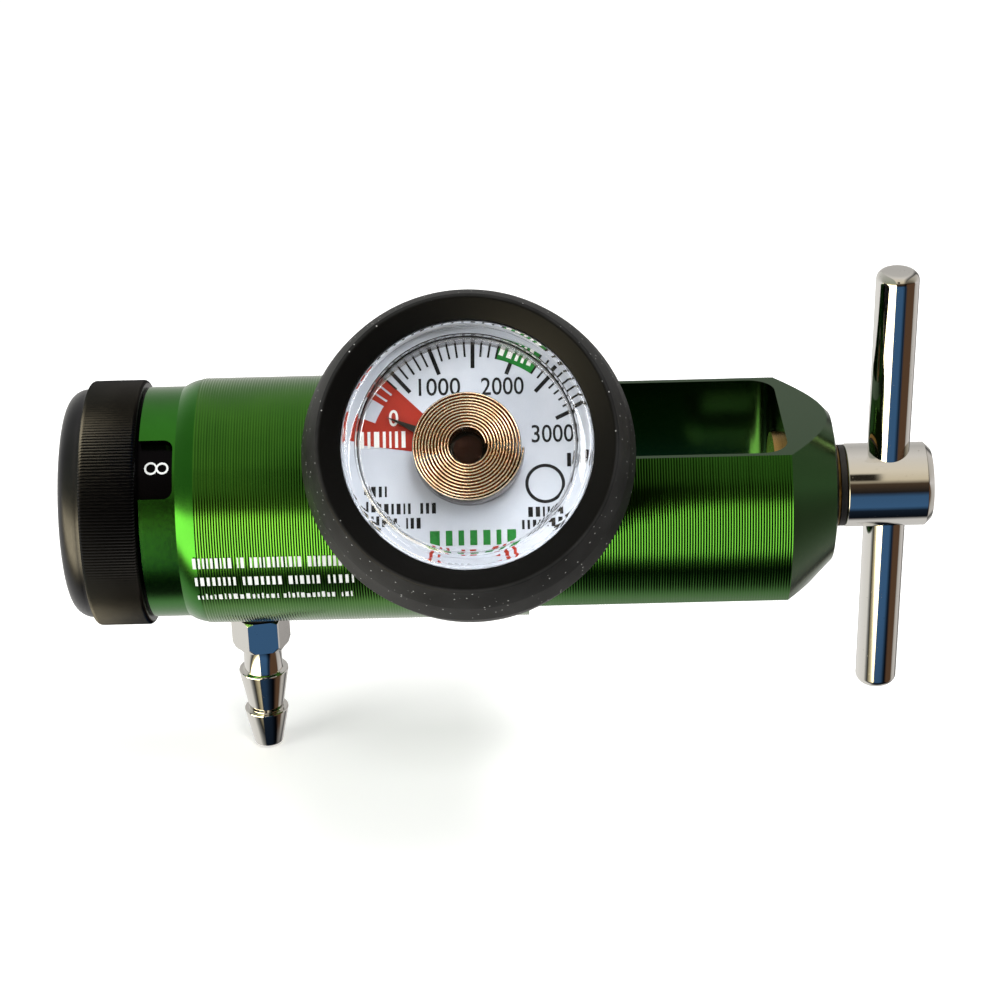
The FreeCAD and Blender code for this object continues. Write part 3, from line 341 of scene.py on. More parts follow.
@dataclass(frozen=True)
class Rubber(Finish):
    """Moulded rubber: a dull black with a fine grain, and pale dust that clings to it."""

    dust: str = "#c6c6c2"
    dust_mm: float = 0.8
    grain_mm: float = 0.12
    bloom_and_sheen: str = "#262422"
    specular: float = 0.25
    dust_and_sheen_from_mm: float = 0.0
    bloom_and_sheen_mm: float = 6.0
    dusted: float = 0.45
    fade_mm: float = 0.15

    def pattern(self, tree: bpy.types.NodeTree, shader: bpy.types.Node,
                place: bpy.types.NodeSocket) -> None:
        """Dust as small round spots in random cells, bloom with a painted grey sheen as slow noise, grain
        in the height.

        Nearer to the gauge's axis than that radius, on the lip, there is neither dust nor bloom and painted
        sheen, so the lip stays black.

        Args:
            tree: The material's tree.
            shader: Its surface shader.
            place: Object coordinates, in metres.
        """
        shader.inputs["Specular IOR Level"].default_value = self.specular
        cells = add(tree, "TexVoronoi", {"Vector": place, "Scale": 1 / (self.dust_mm * MM)})
        # Real dust is finer than one pixel here, so each speck is drawn a pixel wide.
        spot = add(tree, "MapRange", {"Value": cells.outputs["Distance"], "From Min": 0.08,
                                      "From Max": 0.15, "To Min": 1.0, "To Max": 0.0})
        pick = add(tree, "SeparateColor", {0: cells.outputs["Color"]}).outputs[0]
        chosen = add(tree, "Math", {0: pick, 1: self.dusted}, operation="LESS_THAN")
        reach = add(tree, "VectorMath", {0: from_gauge_axis(tree, place)}, operation="LENGTH")
        outside = add(tree, "MapRange", {"Value": reach.outputs["Value"],
                                         "From Min": (self.dust_and_sheen_from_mm - self.fade_mm) * MM,
                                         "From Max": (self.dust_and_sheen_from_mm + self.fade_mm) * MM}).outputs[0]
        some = add(tree, "Math", {0: spot.outputs[0], 1: chosen.outputs[0]}, operation="MULTIPLY")
        dusty = add(tree, "Math", {0: some.outputs[0], 1: outside}, operation="MULTIPLY")
        long, short = 1 / (self.bloom_and_sheen_mm * MM), 1 / (self.grain_mm * MM)
        slow = add(tree, "TexNoise", {"Vector": place, "Scale": long, "Detail": 4.0}).outputs[0]
        # Painted sheen: outside the lip the slow noise lifts the black towards grey, partly as bloom.
        hazy = add(tree, "Math", {0: slow, 1: outside}, operation="MULTIPLY").outputs[0]
        base = add(tree, "ValToRGB", {"Fac": hazy}, stops=[(0.1, self.colour), (0.65, self.bloom_and_sheen)])
        skin = add(tree, "MixRGB", {0: dusty.outputs[0], 1: base.outputs[0], 2: linear(self.dust)})
        grain = add(tree, "TexNoise", {"Vector": place, "Scale": short, "Detail": 2.0})
        height = add(tree, "Bump", {"Height": grain.outputs[0], "Strength": 0.5, "Distance": 0.02 * MM})
        tree.links.new(skin.outputs[0], shader.inputs["Base Color"])
        tree.links.new(height.outputs[0], shader.inputs["Normal"])


@dataclass(frozen=True)
class Paint(Finish):
    """Printed ink or enamel: an even matt colour with a faint mottle."""

    shade: str = "#000000"
    mottle_mm: float = 3.0
    tooth_mm: float = 0.15
    specular: float = 0.2

    def pattern(self, tree: bpy.types.NodeTree, shader: bpy.types.Node,
                place: bpy.types.NodeSocket) -> None:
        """A slow mottle between the colour and its shade, and a fine tooth in the height.

        Args:
            tree: The material's tree.
            shader: Its surface shader.
            place: Object coordinates, in metres.
        """
        shader.inputs["Specular IOR Level"].default_value = self.specular
        long, short = 1 / (self.mottle_mm * MM), 1 / (self.tooth_mm * MM)
        slow = add(tree, "TexNoise", {"Vector": place, "Scale": long, "Detail": 4.0}).outputs[0]
        tint = add(tree, "ValToRGB", {"Fac": slow}, stops=[(0.3, self.shade), (0.7, self.colour)])
        tooth = add(tree, "TexNoise", {"Vector": place, "Scale": short, "Detail": 1.0})
        height = add(tree, "Bump", {"Height": tooth.outputs[0], "Strength": 0.2, "Distance": 0.005 * MM})
        tree.links.new(tint.outputs[0], shader.inputs["Base Color"])
        tree.links.new(height.outputs[0], shader.inputs["Normal"])


@dataclass(frozen=True)
class ClearPlastic(Finish):
    """Moulded polycarbonate: clear, with faint scuffs that catch the light."""

    ior: float = 1.58
    scuff_mm: float = 4.0

    def pattern(self, tree: bpy.types.NodeTree, shader: bpy.types.Node,
                place: bpy.types.NodeSocket) -> None:
        """Scuffs as a thin band of slow noise in the roughness.

        Args:
            tree: The material's tree.
            shader: Its surface shader.
            place: Object coordinates, in metres.
        """
        shader.inputs["Transmission Weight"].default_value = 1.0
        shader.inputs["IOR"].default_value = self.ior
        slow = add(tree, "TexNoise", {"Vector": place, "Scale": 1 / (self.scuff_mm * MM), "Detail": 6.0,
                                      "Roughness": 0.7})
        rough = add(tree, "MapRange", {"Value": slow.outputs[0], "From Min": 0.62, "From Max": 0.75,
                                       "To Min": self.roughness, "To Max": self.roughness + 0.2})
        tree.links.new(rough.outputs[0], shader.inputs["Roughness"])


# Aluminium turned smooth and dyed green: a deep colour that mirrors lamps as yellow-green lines.
GREEN_BARREL = Anodised("aluminium_green_anodised_turned", "#437f1e", 0.14, "#35701a", (0.4, 4.0, 4.0),
                        0.0006, 0.06, yoke="#2f6a17", coat=0.3, coat_roughness=0.15)
# The same, milled and blasted: a duller green without lines, deepest in the yoke.
GREEN_SATIN = Anodised("aluminium_green_anodised_satin", "#327f20", 0.2, "#2a701a", (0.4, 0.4, 0.4),
                       0.001, 0.06, yoke="#214a18", coat=0.25, coat_roughness=0.25)
# Aluminium knurled and dyed black: dark with a soft grey sheen.
BLACK_ANODISED = WorkedMetal("aluminium_black_anodised", "#464649", 0.33, "#38383b", (0.3, 0.3, 0.3),
                             0.002, 0.1)
# The same, left smooth inside the window: nearly no sheen.
BLACK_SMOOTH = WorkedMetal("aluminium_black_anodised_smooth", "#141316", 0.25, "#0f0e11",
                           (0.3, 0.3, 0.3), 0.001, 0.1)
# Turned brass: a warm yellow with rings across the light.
BRASS = WorkedMetal("brass_turned", "#b8955a", 0.3, "#a07f49", (0.08, 1.5, 1.5), 0.003, 0.12)
# Brass of the gauge's post, painted dark brown and nearly matt as the shade down the coil's hollow.
SHADED_BRASS = WorkedMetal("brass_painted_shade", "#2e1f18", 0.5, "#201510", (0.5, 0.5, 0.5), 0.002, 0.1)
# Drawn steel: a plain grey with a fine grain.
STEEL = WorkedMetal("steel_bright_drawn", "#9c9a96", 0.3, "#8b8986", (0.2, 0.2, 0.2), 0.002, 0.1)
# Bronze beads sintered together: brown, open and dull.
BRONZE = WorkedMetal("bronze_sintered", "#8a6b44", 0.6, "#54402a", (0.25, 0.25, 0.25), 0.05, 0.2)
# Bronze strip rolled bright: pale gold top edges as a painted highlight, orange flanks painted where turns
# mirror each other, and painted shade on the outermost outer flank.
COPPER_STRIP = RolledStrip("phosphor_bronze_rolled_strip", "#fff2e0", 0.2, "#fbe4c4", (0.5, 0.5, 0.5),
                           0.001, 0.05, flank="#dd9550")
# Chrome over turned brass: mirrors the room in clean bands.
CHROME = Plated("chrome_plate_on_brass", "#e3e1dd", 0.06)
# Rubber from a mould: deep matt black with pale dust specks outside the lip, and a lighter grey there that
# is partly bloom and partly painted sheen.
RUBBER = Rubber("rubber_moulded_black", "#060606", 0.5, bloom_and_sheen="#222222", specular=0.13, dust_and_sheen_from_mm=20.2)
# Rubber of the seals: the same black, cleaner.
SEAL_RUBBER = Rubber("rubber_seal_black", "#0a0a0a", 0.45, "#1a1a1a", 2.0)
# Nylon from a mould: a soft white.
NYLON = Paint("nylon_moulded_white", "#dcdcd6", 0.5, "#cfcfc8")
# Sheet aluminium under white enamel: a cool white with a faint cloud.
ENAMEL = Paint("aluminium_sheet_white_enamel", "#bcc2cc", 0.45, "#b1b8c3", 6.0)
# Screen-printed inks: flat and even.
RED_INK = Paint("ink_screen_printed_red", "#982718", 0.5, "#8e2315")
GREEN_INK = Paint("ink_screen_printed_green", "#176f28", 0.5, "#146624")
BLACK_INK = Paint("ink_screen_printed_black", "#0c0d10", 0.5, "#08090b")
WHITE_INK = Paint("ink_screen_printed_white", "#dfe1de", 0.5, "#d2d4d1")
# Sheet aluminium painted a dark olive.
OLIVE_PAINT = Paint("aluminium_sheet_olive_painted", "#1f1e18", 0.4, "#181711")
# Polycarbonate from a polished mould: clear, with a few scuffs.
LENS = ClearPlastic("polycarbonate_moulded_clear", "#ffffff", 0.0)

CAD_FINISHES: dict[Finish, tuple[str, ...]] = {
    GREEN_SATIN: ("regulator_body",),
    BRASS: ("inlet_sleeve", "piston", "flow_housing", "orifice_disc", "screw_bushing"),
    # The post's brass is painted dark: shade in the coil's hollow.
    SHADED_BRASS: ("gauge_socket",),
    BRONZE: ("inlet_filter",),
    STEEL: ("seal_ring", "index_pins", "piston_spring", "selector_shaft", "detent_ball",
            "detent_spring", "retaining_ring", "knob_screw", "gauge_case"),
    SEAL_RUBBER: ("seal_core", "piston_head_seal", "piston_stem_seal", "housing_seal", "shaft_seal",
                  "barb_seal", "bumper_ring", "gauge_seal"),
    NYLON: ("valve_seat", "pickup_seal"),
    BLACK_SMOOTH: ("number_ring",),
    ENAMEL: ("dial_plate",),
    RED_INK: ("dial_red_field",),
    GREEN_INK: ("dial_green_field",),
    BLACK_INK: ("dial_scale_marks",),
    OLIVE_PAINT: ("gauge_pointer",),
    LENS: ("gauge_lens",),
}


@dataclass(frozen=True)
class Axis:
    """A line that shapes are turned about, and the direction that angle zero points in."""

    origin: tuple[float, float, float]
    along: tuple[float, float, float]
    zero: tuple[float, float, float]

    def place(self, along: np.ndarray, radius: np.ndarray, angle: np.ndarray) -> np.ndarray:
        """Points at a height on the line, a radius and an angle.

        The point is the origin, plus the height times the line's direction, plus the radius times the
        cosine of the angle along zero and its sine along the line crossed with zero.

        Args:
            along: Heights in mm.
            radius: Radii in mm.
            angle: Angles in radians.

        Returns:
            Points in mm, with one more dimension than the inputs.
        """
        line = np.array(self.along)
        zero = np.array(self.zero)
        side = np.cross(line, zero)
        along, radius, angle = np.broadcast_arrays(along, radius, angle)
        turn = np.cos(angle)[..., None] * zero + np.sin(angle)[..., None] * side
        return np.array(self.origin) + along[..., None] * line + radius[..., None] * turn

    def flat(self, points: np.ndarray) -> np.ndarray:
        """Moves points from a flat drawing, x along zero and z along the line, to their place.

        Args:
            points: Points in mm, as rows of three.

        Returns:
            Points in mm in the row frame.
        """
        side = np.cross(self.along, self.zero)
        return np.array(self.origin) + points @ np.array([self.zero, side, self.along])


MAIN = Axis((0, 0, 0), (1, 0, 0), (0, 0, 1))
GAUGE = Axis((GAUGE_X, 0, 0), leaned(GAUGE_TILT), (1, 0, 0))
BARB = Axis((BARB_X, 0, 0), (0, 0, -1), (0, -1, 0))
HANDLE = Axis((54.825, 0, 0), leaned(4), (1, 0, 0))


def grid(name: str, points: np.ndarray, wrap_rows: bool = False, wrap_columns: bool = True,
         keep: np.ndarray | None = None, sharp: float = 32.0) -> bpy.types.Object:
    """A mesh of four-sided faces over a grid of points.

    A face joins row i and i + 1 with column j and j + 1, so its front looks along the column step
    crossed with the row step.

    Args:
        name: The piece's name.
        points: Rows by columns by three, in mm.
        wrap_rows: The last row joins the first.
        wrap_columns: The last column joins the first.
        keep: One flag for each face, where some are left out.
        sharp: Faces that meet at more than this many degrees show an edge.

    Returns:
        The object, with its place in its mesh.
    """
    rows, columns = points.shape[:2]
    i = np.arange(rows if wrap_rows else rows - 1)[:, None]
    j = np.arange(columns if wrap_columns else columns - 1)[None, :]
    up, right = (i + 1) % rows, (j + 1) % columns
    corners = [i * columns + j, i * columns + right, up * columns + right, up * columns + j]
    faces = np.stack(corners, axis=-1)
    if keep is not None:
        faces = faces[keep]
    used, numbers = np.unique(faces, return_inverse=True)
    return solid(name, points.reshape(-1, 3)[used], numbers.reshape(-1, 4), sharp)


def solid(name: str, points: np.ndarray, faces: np.ndarray | Sequence,
          sharp: float = 32.0) -> bpy.types.Object:
    """An object from points and faces, its doubled points joined, shaded smooth between sharp edges.

    Args:
        name: The piece's name.
        points: Rows of three, in mm.
        faces: Rows of point numbers.
        sharp: Faces that meet at more than this many degrees show an edge.

    Returns:
        The object.
    """
    mesh = bpy.data.meshes.new(name)
    mesh.from_pydata(points * MM, [], faces)
    joined = bmesh.new()
    joined.from_mesh(mesh)
    bmesh.ops.remove_doubles(joined, verts=joined.verts, dist=SAME_PLACE)
    joined.to_mesh(mesh)
    joined.free()
    mesh.shade_smooth()
    mesh.set_sharp_from_angle(angle=math.radians(sharp))
    made = bpy.data.objects.new(name, mesh)
    bpy.context.scene.collection.objects.link(made)
    return made


def rounded(corners: Sequence[tuple], closed: bool = False) -> np.ndarray:
    """A profile whose corners are rounded.

    Each rounded corner becomes an arc that touches both sides: its centre is on the halving line at the
    corner's radius over the sine of half the angle, and its points are spread evenly over its turn.

    Args:
        corners: (height, radius) or (height, radius, corner radius, points on the arc).
        closed: The last corner joins the first.

    Returns:
        Rows of (height, radius) in mm.
    """
    spots = np.array([corner[:2] for corner in corners], float)
    parts = []
    for k, corner in enumerate(corners):
        ends = not closed and k in (0, len(corners) - 1)
        if len(corner) < 3 or ends:
            parts.append(spots[k:k + 1])
            continue
        bend, count = corner[2], (corner[3] if len(corner) > 3 else 3)
        back = spots[k - 1] - spots[k]
        ahead = spots[(k + 1) % len(spots)] - spots[k]
        back, ahead = back / np.hypot(*back), ahead / np.hypot(*ahead)
        half = math.acos(np.clip(back @ ahead, -1, 1)) / 2
        middle = (back + ahead) / np.hypot(*(back + ahead))
        across = (ahead - back) / np.hypot(*(ahead - back))
        turn = np.linspace(half - math.pi / 2, math.pi / 2 - half, count)[:, None]
        centre = spots[k] + middle * bend / math.sin(half)
        parts.append(centre - bend * np.cos(turn) * middle + bend * np.sin(turn) * across)
    return np.concatenate(parts)


def spread(profile: np.ndarray, step: float, low: float, high: float) -> np.ndarray:
    """Adds rows to a profile at an even step wherever it crosses a stretch of heights.

    Args:
        profile: Rows of (height, radius).
        step: Largest step in mm.
        low: Where the stretch starts.
        high: Where it ends.

    Returns:
        The longer profile.
    """
    parts = []
    for a, b in zip(profile[:-1], profile[1:]):
        inside = max(a[0], b[0]) > low and min(a[0], b[0]) < high
        count = max(1, math.ceil(abs(b[0] - a[0]) / step)) if inside else 1
        parts.append(a + (b - a) * np.arange(count)[:, None] / count)
    return np.concatenate([*parts, profile[-1:]])


def turned(name: str, axis: Axis, profile: np.ndarray, count: int, closed: bool = False,
           sharp: float = 32.0, reshape: Reshape | None = None) -> bpy.types.Object:
    """A surface turned about an axis from a profile, whose outer side runs along the axis.

    The point at row i and column j has the profile's height and radius i, at j parts of a full turn.

    Args:
        name: The piece's name.
        axis: What it is turned about.
        profile: Rows of (height, radius) in mm.
        count: Columns in a full turn.
        closed: The last row joins the first.
        sharp: Faces that meet at more than this many degrees show an edge.
        reshape: Gives a new radius from height, radius and angle.

    Returns:
        The object.
    """
    angle = np.arange(count)[None, :] * math.tau / count
    along = profile[:, :1]
    radius = np.broadcast_to(profile[:, 1:], (len(profile), count))
    if reshape is not None:
        radius = reshape(along, radius, angle)
    return grid(name, axis.place(along, radius, angle), wrap_rows=closed, sharp=sharp)


def blocks(centres: np.ndarray, sizes: np.ndarray) -> tuple[np.ndarray, np.ndarray]:
    """Boxes as points and faces: each corner is the centre plus or minus half of the size.

    Args:
        centres: Rows of three in mm.
        sizes: Rows of three in mm.

    Returns:
        Points and faces.
    """
    signs = np.array([[x, y, z] for z in (-1, 1) for y in (-1, 1) for x in (-1, 1)]) / 2
    points = centres[:, None, :] + signs[None] * sizes[:, None, :]
    one = np.array([[0, 2, 3, 1], [4, 5, 7, 6], [0, 1, 5, 4], [2, 6, 7, 3], [0, 4, 6, 2], [1, 3, 7, 5]])
    faces = one[None] + 8 * np.arange(len(centres))[:, None, None]
    return points.reshape(-1, 3), faces.reshape(-1, 4)


@dataclass(frozen=True)
class PrintRow:
    """A row of plain upright strokes where the real piece carries words."""

    x: float
    y: float
    width: float
    height: float
    tilt: float = 0.0
    least: float = 1.0
    words: tuple[int, ...] = (5,)
    stroke: tuple[float, float] = (0.16, 0.5)
    gap: float = 0.3

    def strokes(self) -> tuple[np.ndarray, np.ndarray]:
        """Where the strokes stand and how large they are.

        Widths and heights are drawn from even spreads with the row's own seed. The strokes are set one
        after another with a gap, and the row is scaled to fill its width. One is left out between words.

        Returns:
            Centres from the row's middle, and sizes, as rows of (along, up) in mm.
        """
        rng = np.random.default_rng(round(100 * abs(self.x) + 10 * abs(self.y)) + 3)
        count = sum(self.words) + len(self.words) - 1
        wide = rng.uniform(*self.stroke, count)
        tall = rng.uniform(self.least, 1.0, count) * self.height
        step = wide + self.gap
        left = np.cumsum(step) - step
        scale = self.width / (left[-1] + wide[-1])
        keep = np.ones(count, bool)
        keep[np.cumsum(np.array(self.words) + 1)[:-1] - 1] = False
        along = (left + wide / 2) * scale - self.width / 2
        centres = np.stack([along, (tall - self.height) / 2], 1)[keep]
        return centres, np.stack([wide * scale, tall], 1)[keep]

    def solids(self, thickness: float) -> tuple[np.ndarray, np.ndarray]:
        """The strokes as thin blocks, turned by the row's tilt and set at its middle.

        Args:
            thickness: In mm, from height zero.

        Returns:
            Points in mm and faces.
        """
        centres, sizes = self.strokes()
        count = len(centres)
        points, faces = blocks(np.column_stack([centres, np.full(count, thickness / 2)]),
                               np.column_stack([sizes, np.full(count, thickness)]))
        turn = math.radians(self.tilt)
        cos, sin = math.cos(turn), math.sin(turn)
        spin = np.array([[cos, sin, 0], [-sin, cos, 0], [0, 0, 1]])
        return points @ spin + np.array([self.x, self.y, 0]), faces


def lettering(text: str, width: float, height: float, thickness: float,
              weight: float = 0.01) -> tuple[np.ndarray, list[list[int]]]:
    """A numeral as points and faces, stretched to a width and a height about its own middle.

    Args:
        text: The digits.
        width: In mm.
        height: In mm.
        thickness: In mm.
        weight: How far its outline is moved out, as a share of the type's size.

    Returns:
        Points in mm, from z 0 to the thickness, and faces.
    """
    curve = bpy.data.curves.new("numeral", "FONT")
    curve.body = text
    curve.extrude = 0.5
    curve.offset = weight
    curve.resolution_u = 4
    held = bpy.data.objects.new("numeral", curve)
    bpy.context.scene.collection.objects.link(held)
    graph = bpy.context.evaluated_depsgraph_get()
    mesh = bpy.data.meshes.new_from_object(held.evaluated_get(graph))
    points = np.zeros(len(mesh.vertices) * 3, np.float32)
    mesh.vertices.foreach_get("co", points)
    points = points.reshape(-1, 3).astype(float)
    faces = [list(face.vertices) for face in mesh.polygons]
    bpy.data.objects.remove(held)
    bpy.data.curves.remove(curve)
    bpy.data.meshes.remove(mesh)
    low, high = points.min(0), points.max(0)
    points = (points - (low + high) / 2) / (high - low) * np.array([width, height, thickness])
    points[:, 2] += thickness / 2
    return points, faces


def gathered(parts: Iterable[tuple[np.ndarray, Sequence]]) -> tuple[np.ndarray, list]:
    """Several sets of points and faces as one set, with the point numbers moved on.

    Args:
        parts: Points and faces of each.

    Returns:
        Points and faces of all.
    """
    points, faces, start = [], [], 0
    for some, its_faces in parts:
        points.append(some)
        faces += [[start + k for k in face] for face in its_faces]
        start += len(some)
    return np.concatenate(points), faces


def dress(piece: bpy.types.Object, finish: Finish, body: Body, slot: Slot, *nodes: str) -> None:
    """Gives a piece its finish and its body, and hides the CAD nodes that it stands for.

    Args:
        piece: The finished mesh object.
        finish: Its finish.
        body: What it moves with.
        slot: The record's material slot; not used.
        nodes: CAD nodes that it replaces.
    """
    piece.data.materials.append(finish.material())
    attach(piece, body.value)
    if nodes:
        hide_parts(*nodes)
    LOG.info("%s: %d faces on %s", piece.name, len(piece.data.polygons), body.value)


@dataclass
class Barrel:
    """The body's turned skin, cut with fine grooves, and the print on it."""

    radius: float = 18.58
    pitch: float = 0.4
    depth: float = 0.055
    lift: float = 0.02
    start: float = -48.6
    shoulder: float = -47.8
    bend: float = 6.54
    cone: float = 38.7
    flat: float = 11.95
    seed: int = 11
    vary: tuple[float, float] = (0.9, 1.1)
    dip: float = 0.1
    columns: int = 144
    yoke_columns: int = 29
    # Station, lean to the front and radius of the gauge's seat, the barb's seat and the vent.
    seats: tuple = ((GAUGE_X, GAUGE_TILT, 8.3), (BARB_X, 180.0, 4.45), (-26.2, 244.0, 1.05))
    print_thickness: float = 0.03
    # The body's print: lean to the front, and each row.
    rows: tuple[tuple[float, PrintRow], ...] = (
        (93.9, PrintRow(-37.9, 0, 22.6, 1.75, words=(9, 2, 12, 8))),
        (104.1, PrintRow(-39.9, 0, 18.4, 1.6, words=(8, 7, 6))),
        (104.1, PrintRow(-27.6, 0, 3.8, 1.6, words=(5,))),
        (113.9, PrintRow(-43.0, 0, 12.0, 1.3, least=0.65, words=(17,))),
        (113.9, PrintRow(-31.2, 0, 10.2, 1.3, least=0.65, words=(11, 3))),
    )

    def grooves(self, start: float, end: float) -> tuple[np.ndarray, np.ndarray]:
        """Heights and radii of the scallops that a round-nosed tool leaves.

        Across one pitch the radius falls from the crest and rises again as the square of the distance
        from the middle. The shoulder's arc is taken off it, and both ends dip under the body's skin.

        Args:
            start: First station in mm.
            end: Last station in mm.

        Returns:
            Stations and radii in mm.
        """
        count = round((end - start) / self.pitch)
        share = np.arange(4 * count + 1) / 4
        across = share % 1 - 0.5
        rng = np.random.default_rng(self.seed)
        vary = rng.uniform(*self.vary, count + 1)[np.floor(share).astype(int)]
        x = start + share * (end - start) / count
        past = np.maximum(self.shoulder - x, 0)
        drop = self.bend - np.sqrt(self.bend ** 2 - past ** 2)
        radius = self.radius - drop + self.lift + self.depth * vary * 4 * across ** 2
        x = np.concatenate([x[:1], x, x[-1:]])
        radius = np.concatenate([radius[:1] - self.dip, radius, radius[-1:] - self.dip])
        return x, radius

    def open_places(self, points: np.ndarray) -> np.ndarray:
        """Flags the faces that lie off the gauge's seat, the barb's seat and the vent.

        A face is off a seat when its middle is further from the seat's line than the seat's radius, or
        on the body's other side.

        Args:
            points: The skin's grid, in mm.

        Returns:
            One flag for each face.
        """
        centre = (points[:-1, :] + points[1:, :]) / 2
        centre = (centre + np.roll(centre, -1, axis=1)) / 2
        off = np.ones(centre.shape[:2], bool)
        for place, tilt, hole in self.seats:
            line = np.array(leaned(tilt))
            beside = centre @ np.cross(line, (1, 0, 0))
            off &= (np.hypot(centre[..., 0] - place, beside) > hole) | (centre @ line < 0)
        return off

    def build(self) -> None:
        """Makes the grooved skin of the barrel and of both sides of the yoke."""
        x, radius = self.grooves(self.start, 0.0)
        angle = np.arange(self.columns)[None, :] * math.tau / self.columns
        points = MAIN.place(x[:, None], radius[:, None], angle)
        skin = grid("turned_skin", points, keep=self.open_places(points))
        dress(skin, GREEN_BARREL, Body.REGULATOR, Slot.GREEN)
        x, radius = self.grooves(0.0, self.cone)
        half = math.asin(self.flat / self.radius)
        for name, middle in (("yoke_skin_front", 90.0), ("yoke_skin_back", 270.0)):
            angle = math.radians(middle) + np.linspace(-half, half, self.yoke_columns)[None, :]
            points = MAIN.place(x[:, None], radius[:, None], angle)
            skin = grid(name, points, wrap_columns=False)
            dress(skin, GREEN_BARREL, Body.REGULATOR, Slot.GREEN)
        self.print_rows()

    def print_rows(self) -> None:
        """Three rows of plain white strokes below the gauge, bent to the barrel.

        A point's distance up the row becomes an angle, less as it is higher, over the barrel's radius.
        """
        parts = []
        for tilt, row in self.rows:
            points, faces = row.solids(self.print_thickness)
            height = self.radius + self.lift + self.depth + points[:, 2]
            angle = math.radians(tilt) - points[:, 1] / self.radius
            parts.append((MAIN.place(points[:, 0], height, angle), faces))
        dress(solid("body_print", *gathered(parts)), WHITE_INK, Body.REGULATOR, Slot.DIAL)


@dataclass
class FlowKnob:
    """The knurled knob and the numbers on its ring."""

    ridges: int = 240
    ridge_depth: float = 0.3
    ring_radius: float = 16.0
    number_tilt: float = 46.5
    number_x: float = -54.25
    number_height: float = 3.6
    digit_width: float = 1.95
    dot_share: float = 0.45
    number_weight: float = -0.018
    number_thickness: float = 0.05
    click: float = 30.0
    numbers: tuple[str, ...] = ("0", ".5", "1", "1.5", "2", "3", "4", "5", "6", "8", "10", "15")
    shown: int = 9
    band: float = 18.1

    def knurl(self, along: np.ndarray, radius: np.ndarray, angle: np.ndarray) -> np.ndarray:
        """The radius less half of one minus the cosine of the angle times the ridges, on the band.

        Args:
            along: Heights in mm.
            radius: Radii in mm.
            angle: Angles in radians.

        Returns:
            New radii in mm.
        """
        wave = 0.5 - 0.5 * np.cos(angle * self.ridges)
        return radius - self.ridge_depth * wave * np.clip((radius - self.band) / 0.3, 0, 1)

    def build(self) -> None:
        """Makes the knob and the numbers."""
        # Height and radius of each corner, and for a round one its own radius and points.
        profile = rounded([
            (-66.2, 1.6),
            (-66.2, 3.05),
            (-69.0, 3.05, 0.15),
            (-69.0, 17.4, 2.9, 12),
            (-65.5, 17.4, 0.1),
            (-65.5, 18.63, 0.6, 6),
            (-57.2, 18.63, 0.6, 6),
            (-57.2, 16.0, 0.1),
            (-60.2, 16.0),
            (-60.2, 14.4, 0.1),
            (-62.6, 14.4, 0.3),
            (-62.6, 5.5, 0.2),
            (-57.5, 5.5, 0.2),
            (-57.5, 3.1),
            (-64.2, 3.1),
            (-64.2, 1.6),
        ], closed=True)
        knob = turned("knob_knurled", MAIN, profile, 4 * self.ridges, closed=True, sharp=40,
                      reshape=self.knurl)
        dress(knob, BLACK_ANODISED, Body.KNOB, Slot.BLACK, "knob")
        parts = []
        for k, text in enumerate(self.numbers):
            width = self.digit_width * sum(self.dot_share if c == "." else 1.0 for c in text)
            points, faces = lettering(text, width, self.number_height, self.number_thickness,
                                      self.number_weight)
            middle = math.radians(self.number_tilt + self.click * (k - self.shown))
            angle = middle + points[:, 0] / self.ring_radius
            height, radius = self.number_x + points[:, 1], self.ring_radius + points[:, 2]
            parts.append((MAIN.place(height, radius, angle), faces))
        dress(solid("flow_numbers", *gathered(parts)), WHITE_INK, Body.KNOB, Slot.DIAL)


@dataclass
class HoseBarb:
    """The plated barb: hexagon with turned chamfers, neck and two ridges."""

    flats: float = 7.94
    turn: float = 10.5
    low: float = 19.58
    high: float = 24.88
    ridge: float = 29.38
    waist: float = 36.38
    tip: float = 42.68
    chamfer: float = 4.2
    bore: float = 1.3

    def hexed(self, along: np.ndarray, radius: np.ndarray, angle: np.ndarray) -> np.ndarray:
        """The smaller of the radius and the hexagon's.

        The hexagon's is half the flats over the cosine of the angle from the flat's middle.

        Args:
            along: Heights in mm.
            radius: Radii in mm.
            angle: Angles in radians.

        Returns:
            New radii in mm.
        """
        sixth = math.tau / 6
        turn = (angle + math.radians(self.turn) + sixth / 2) % sixth - sixth / 2
        inside = (along >= self.low) & (along <= self.high)
        return np.where(inside, np.minimum(radius, self.flats / 2 / np.cos(turn)), radius)

    def build(self) -> None:
        """Makes the barb."""
        profile = rounded([
            (13.4, self.bore),
            (13.4, 3.95, 0.3),
            (18.03, 3.95, 0.1),
            (18.03, 2.6),
            (self.low, 2.6),
            (self.low, self.chamfer),
            (self.low + 0.4, 4.6),
            (self.high - 0.8, 4.6),
            (self.high, self.chamfer),
            (self.high, 3.0, 0.12),
            (self.ridge, 3.0, 0.12),
            (self.ridge, 3.9, 0.16),
            (self.waist, 2.67, 0.12),
            (self.waist, 3.5, 0.16),
            (self.tip, 2.25, 0.35, 5),
            (self.tip, self.bore, 0.1),
        ], closed=True)
        profile = spread(np.concatenate([profile, profile[:1]]), 0.08, self.low, self.low + 0.39)[:-1]
        profile = spread(np.concatenate([profile, profile[:1]]), 0.1, self.high - 0.79, self.high)[:-1]
        barb = turned("hose_barb", BARB, profile, 144, closed=True, sharp=24, reshape=self.hexed)
        dress(barb, CHROME, Body.REGULATOR, Slot.CHROME, "outlet_barb")


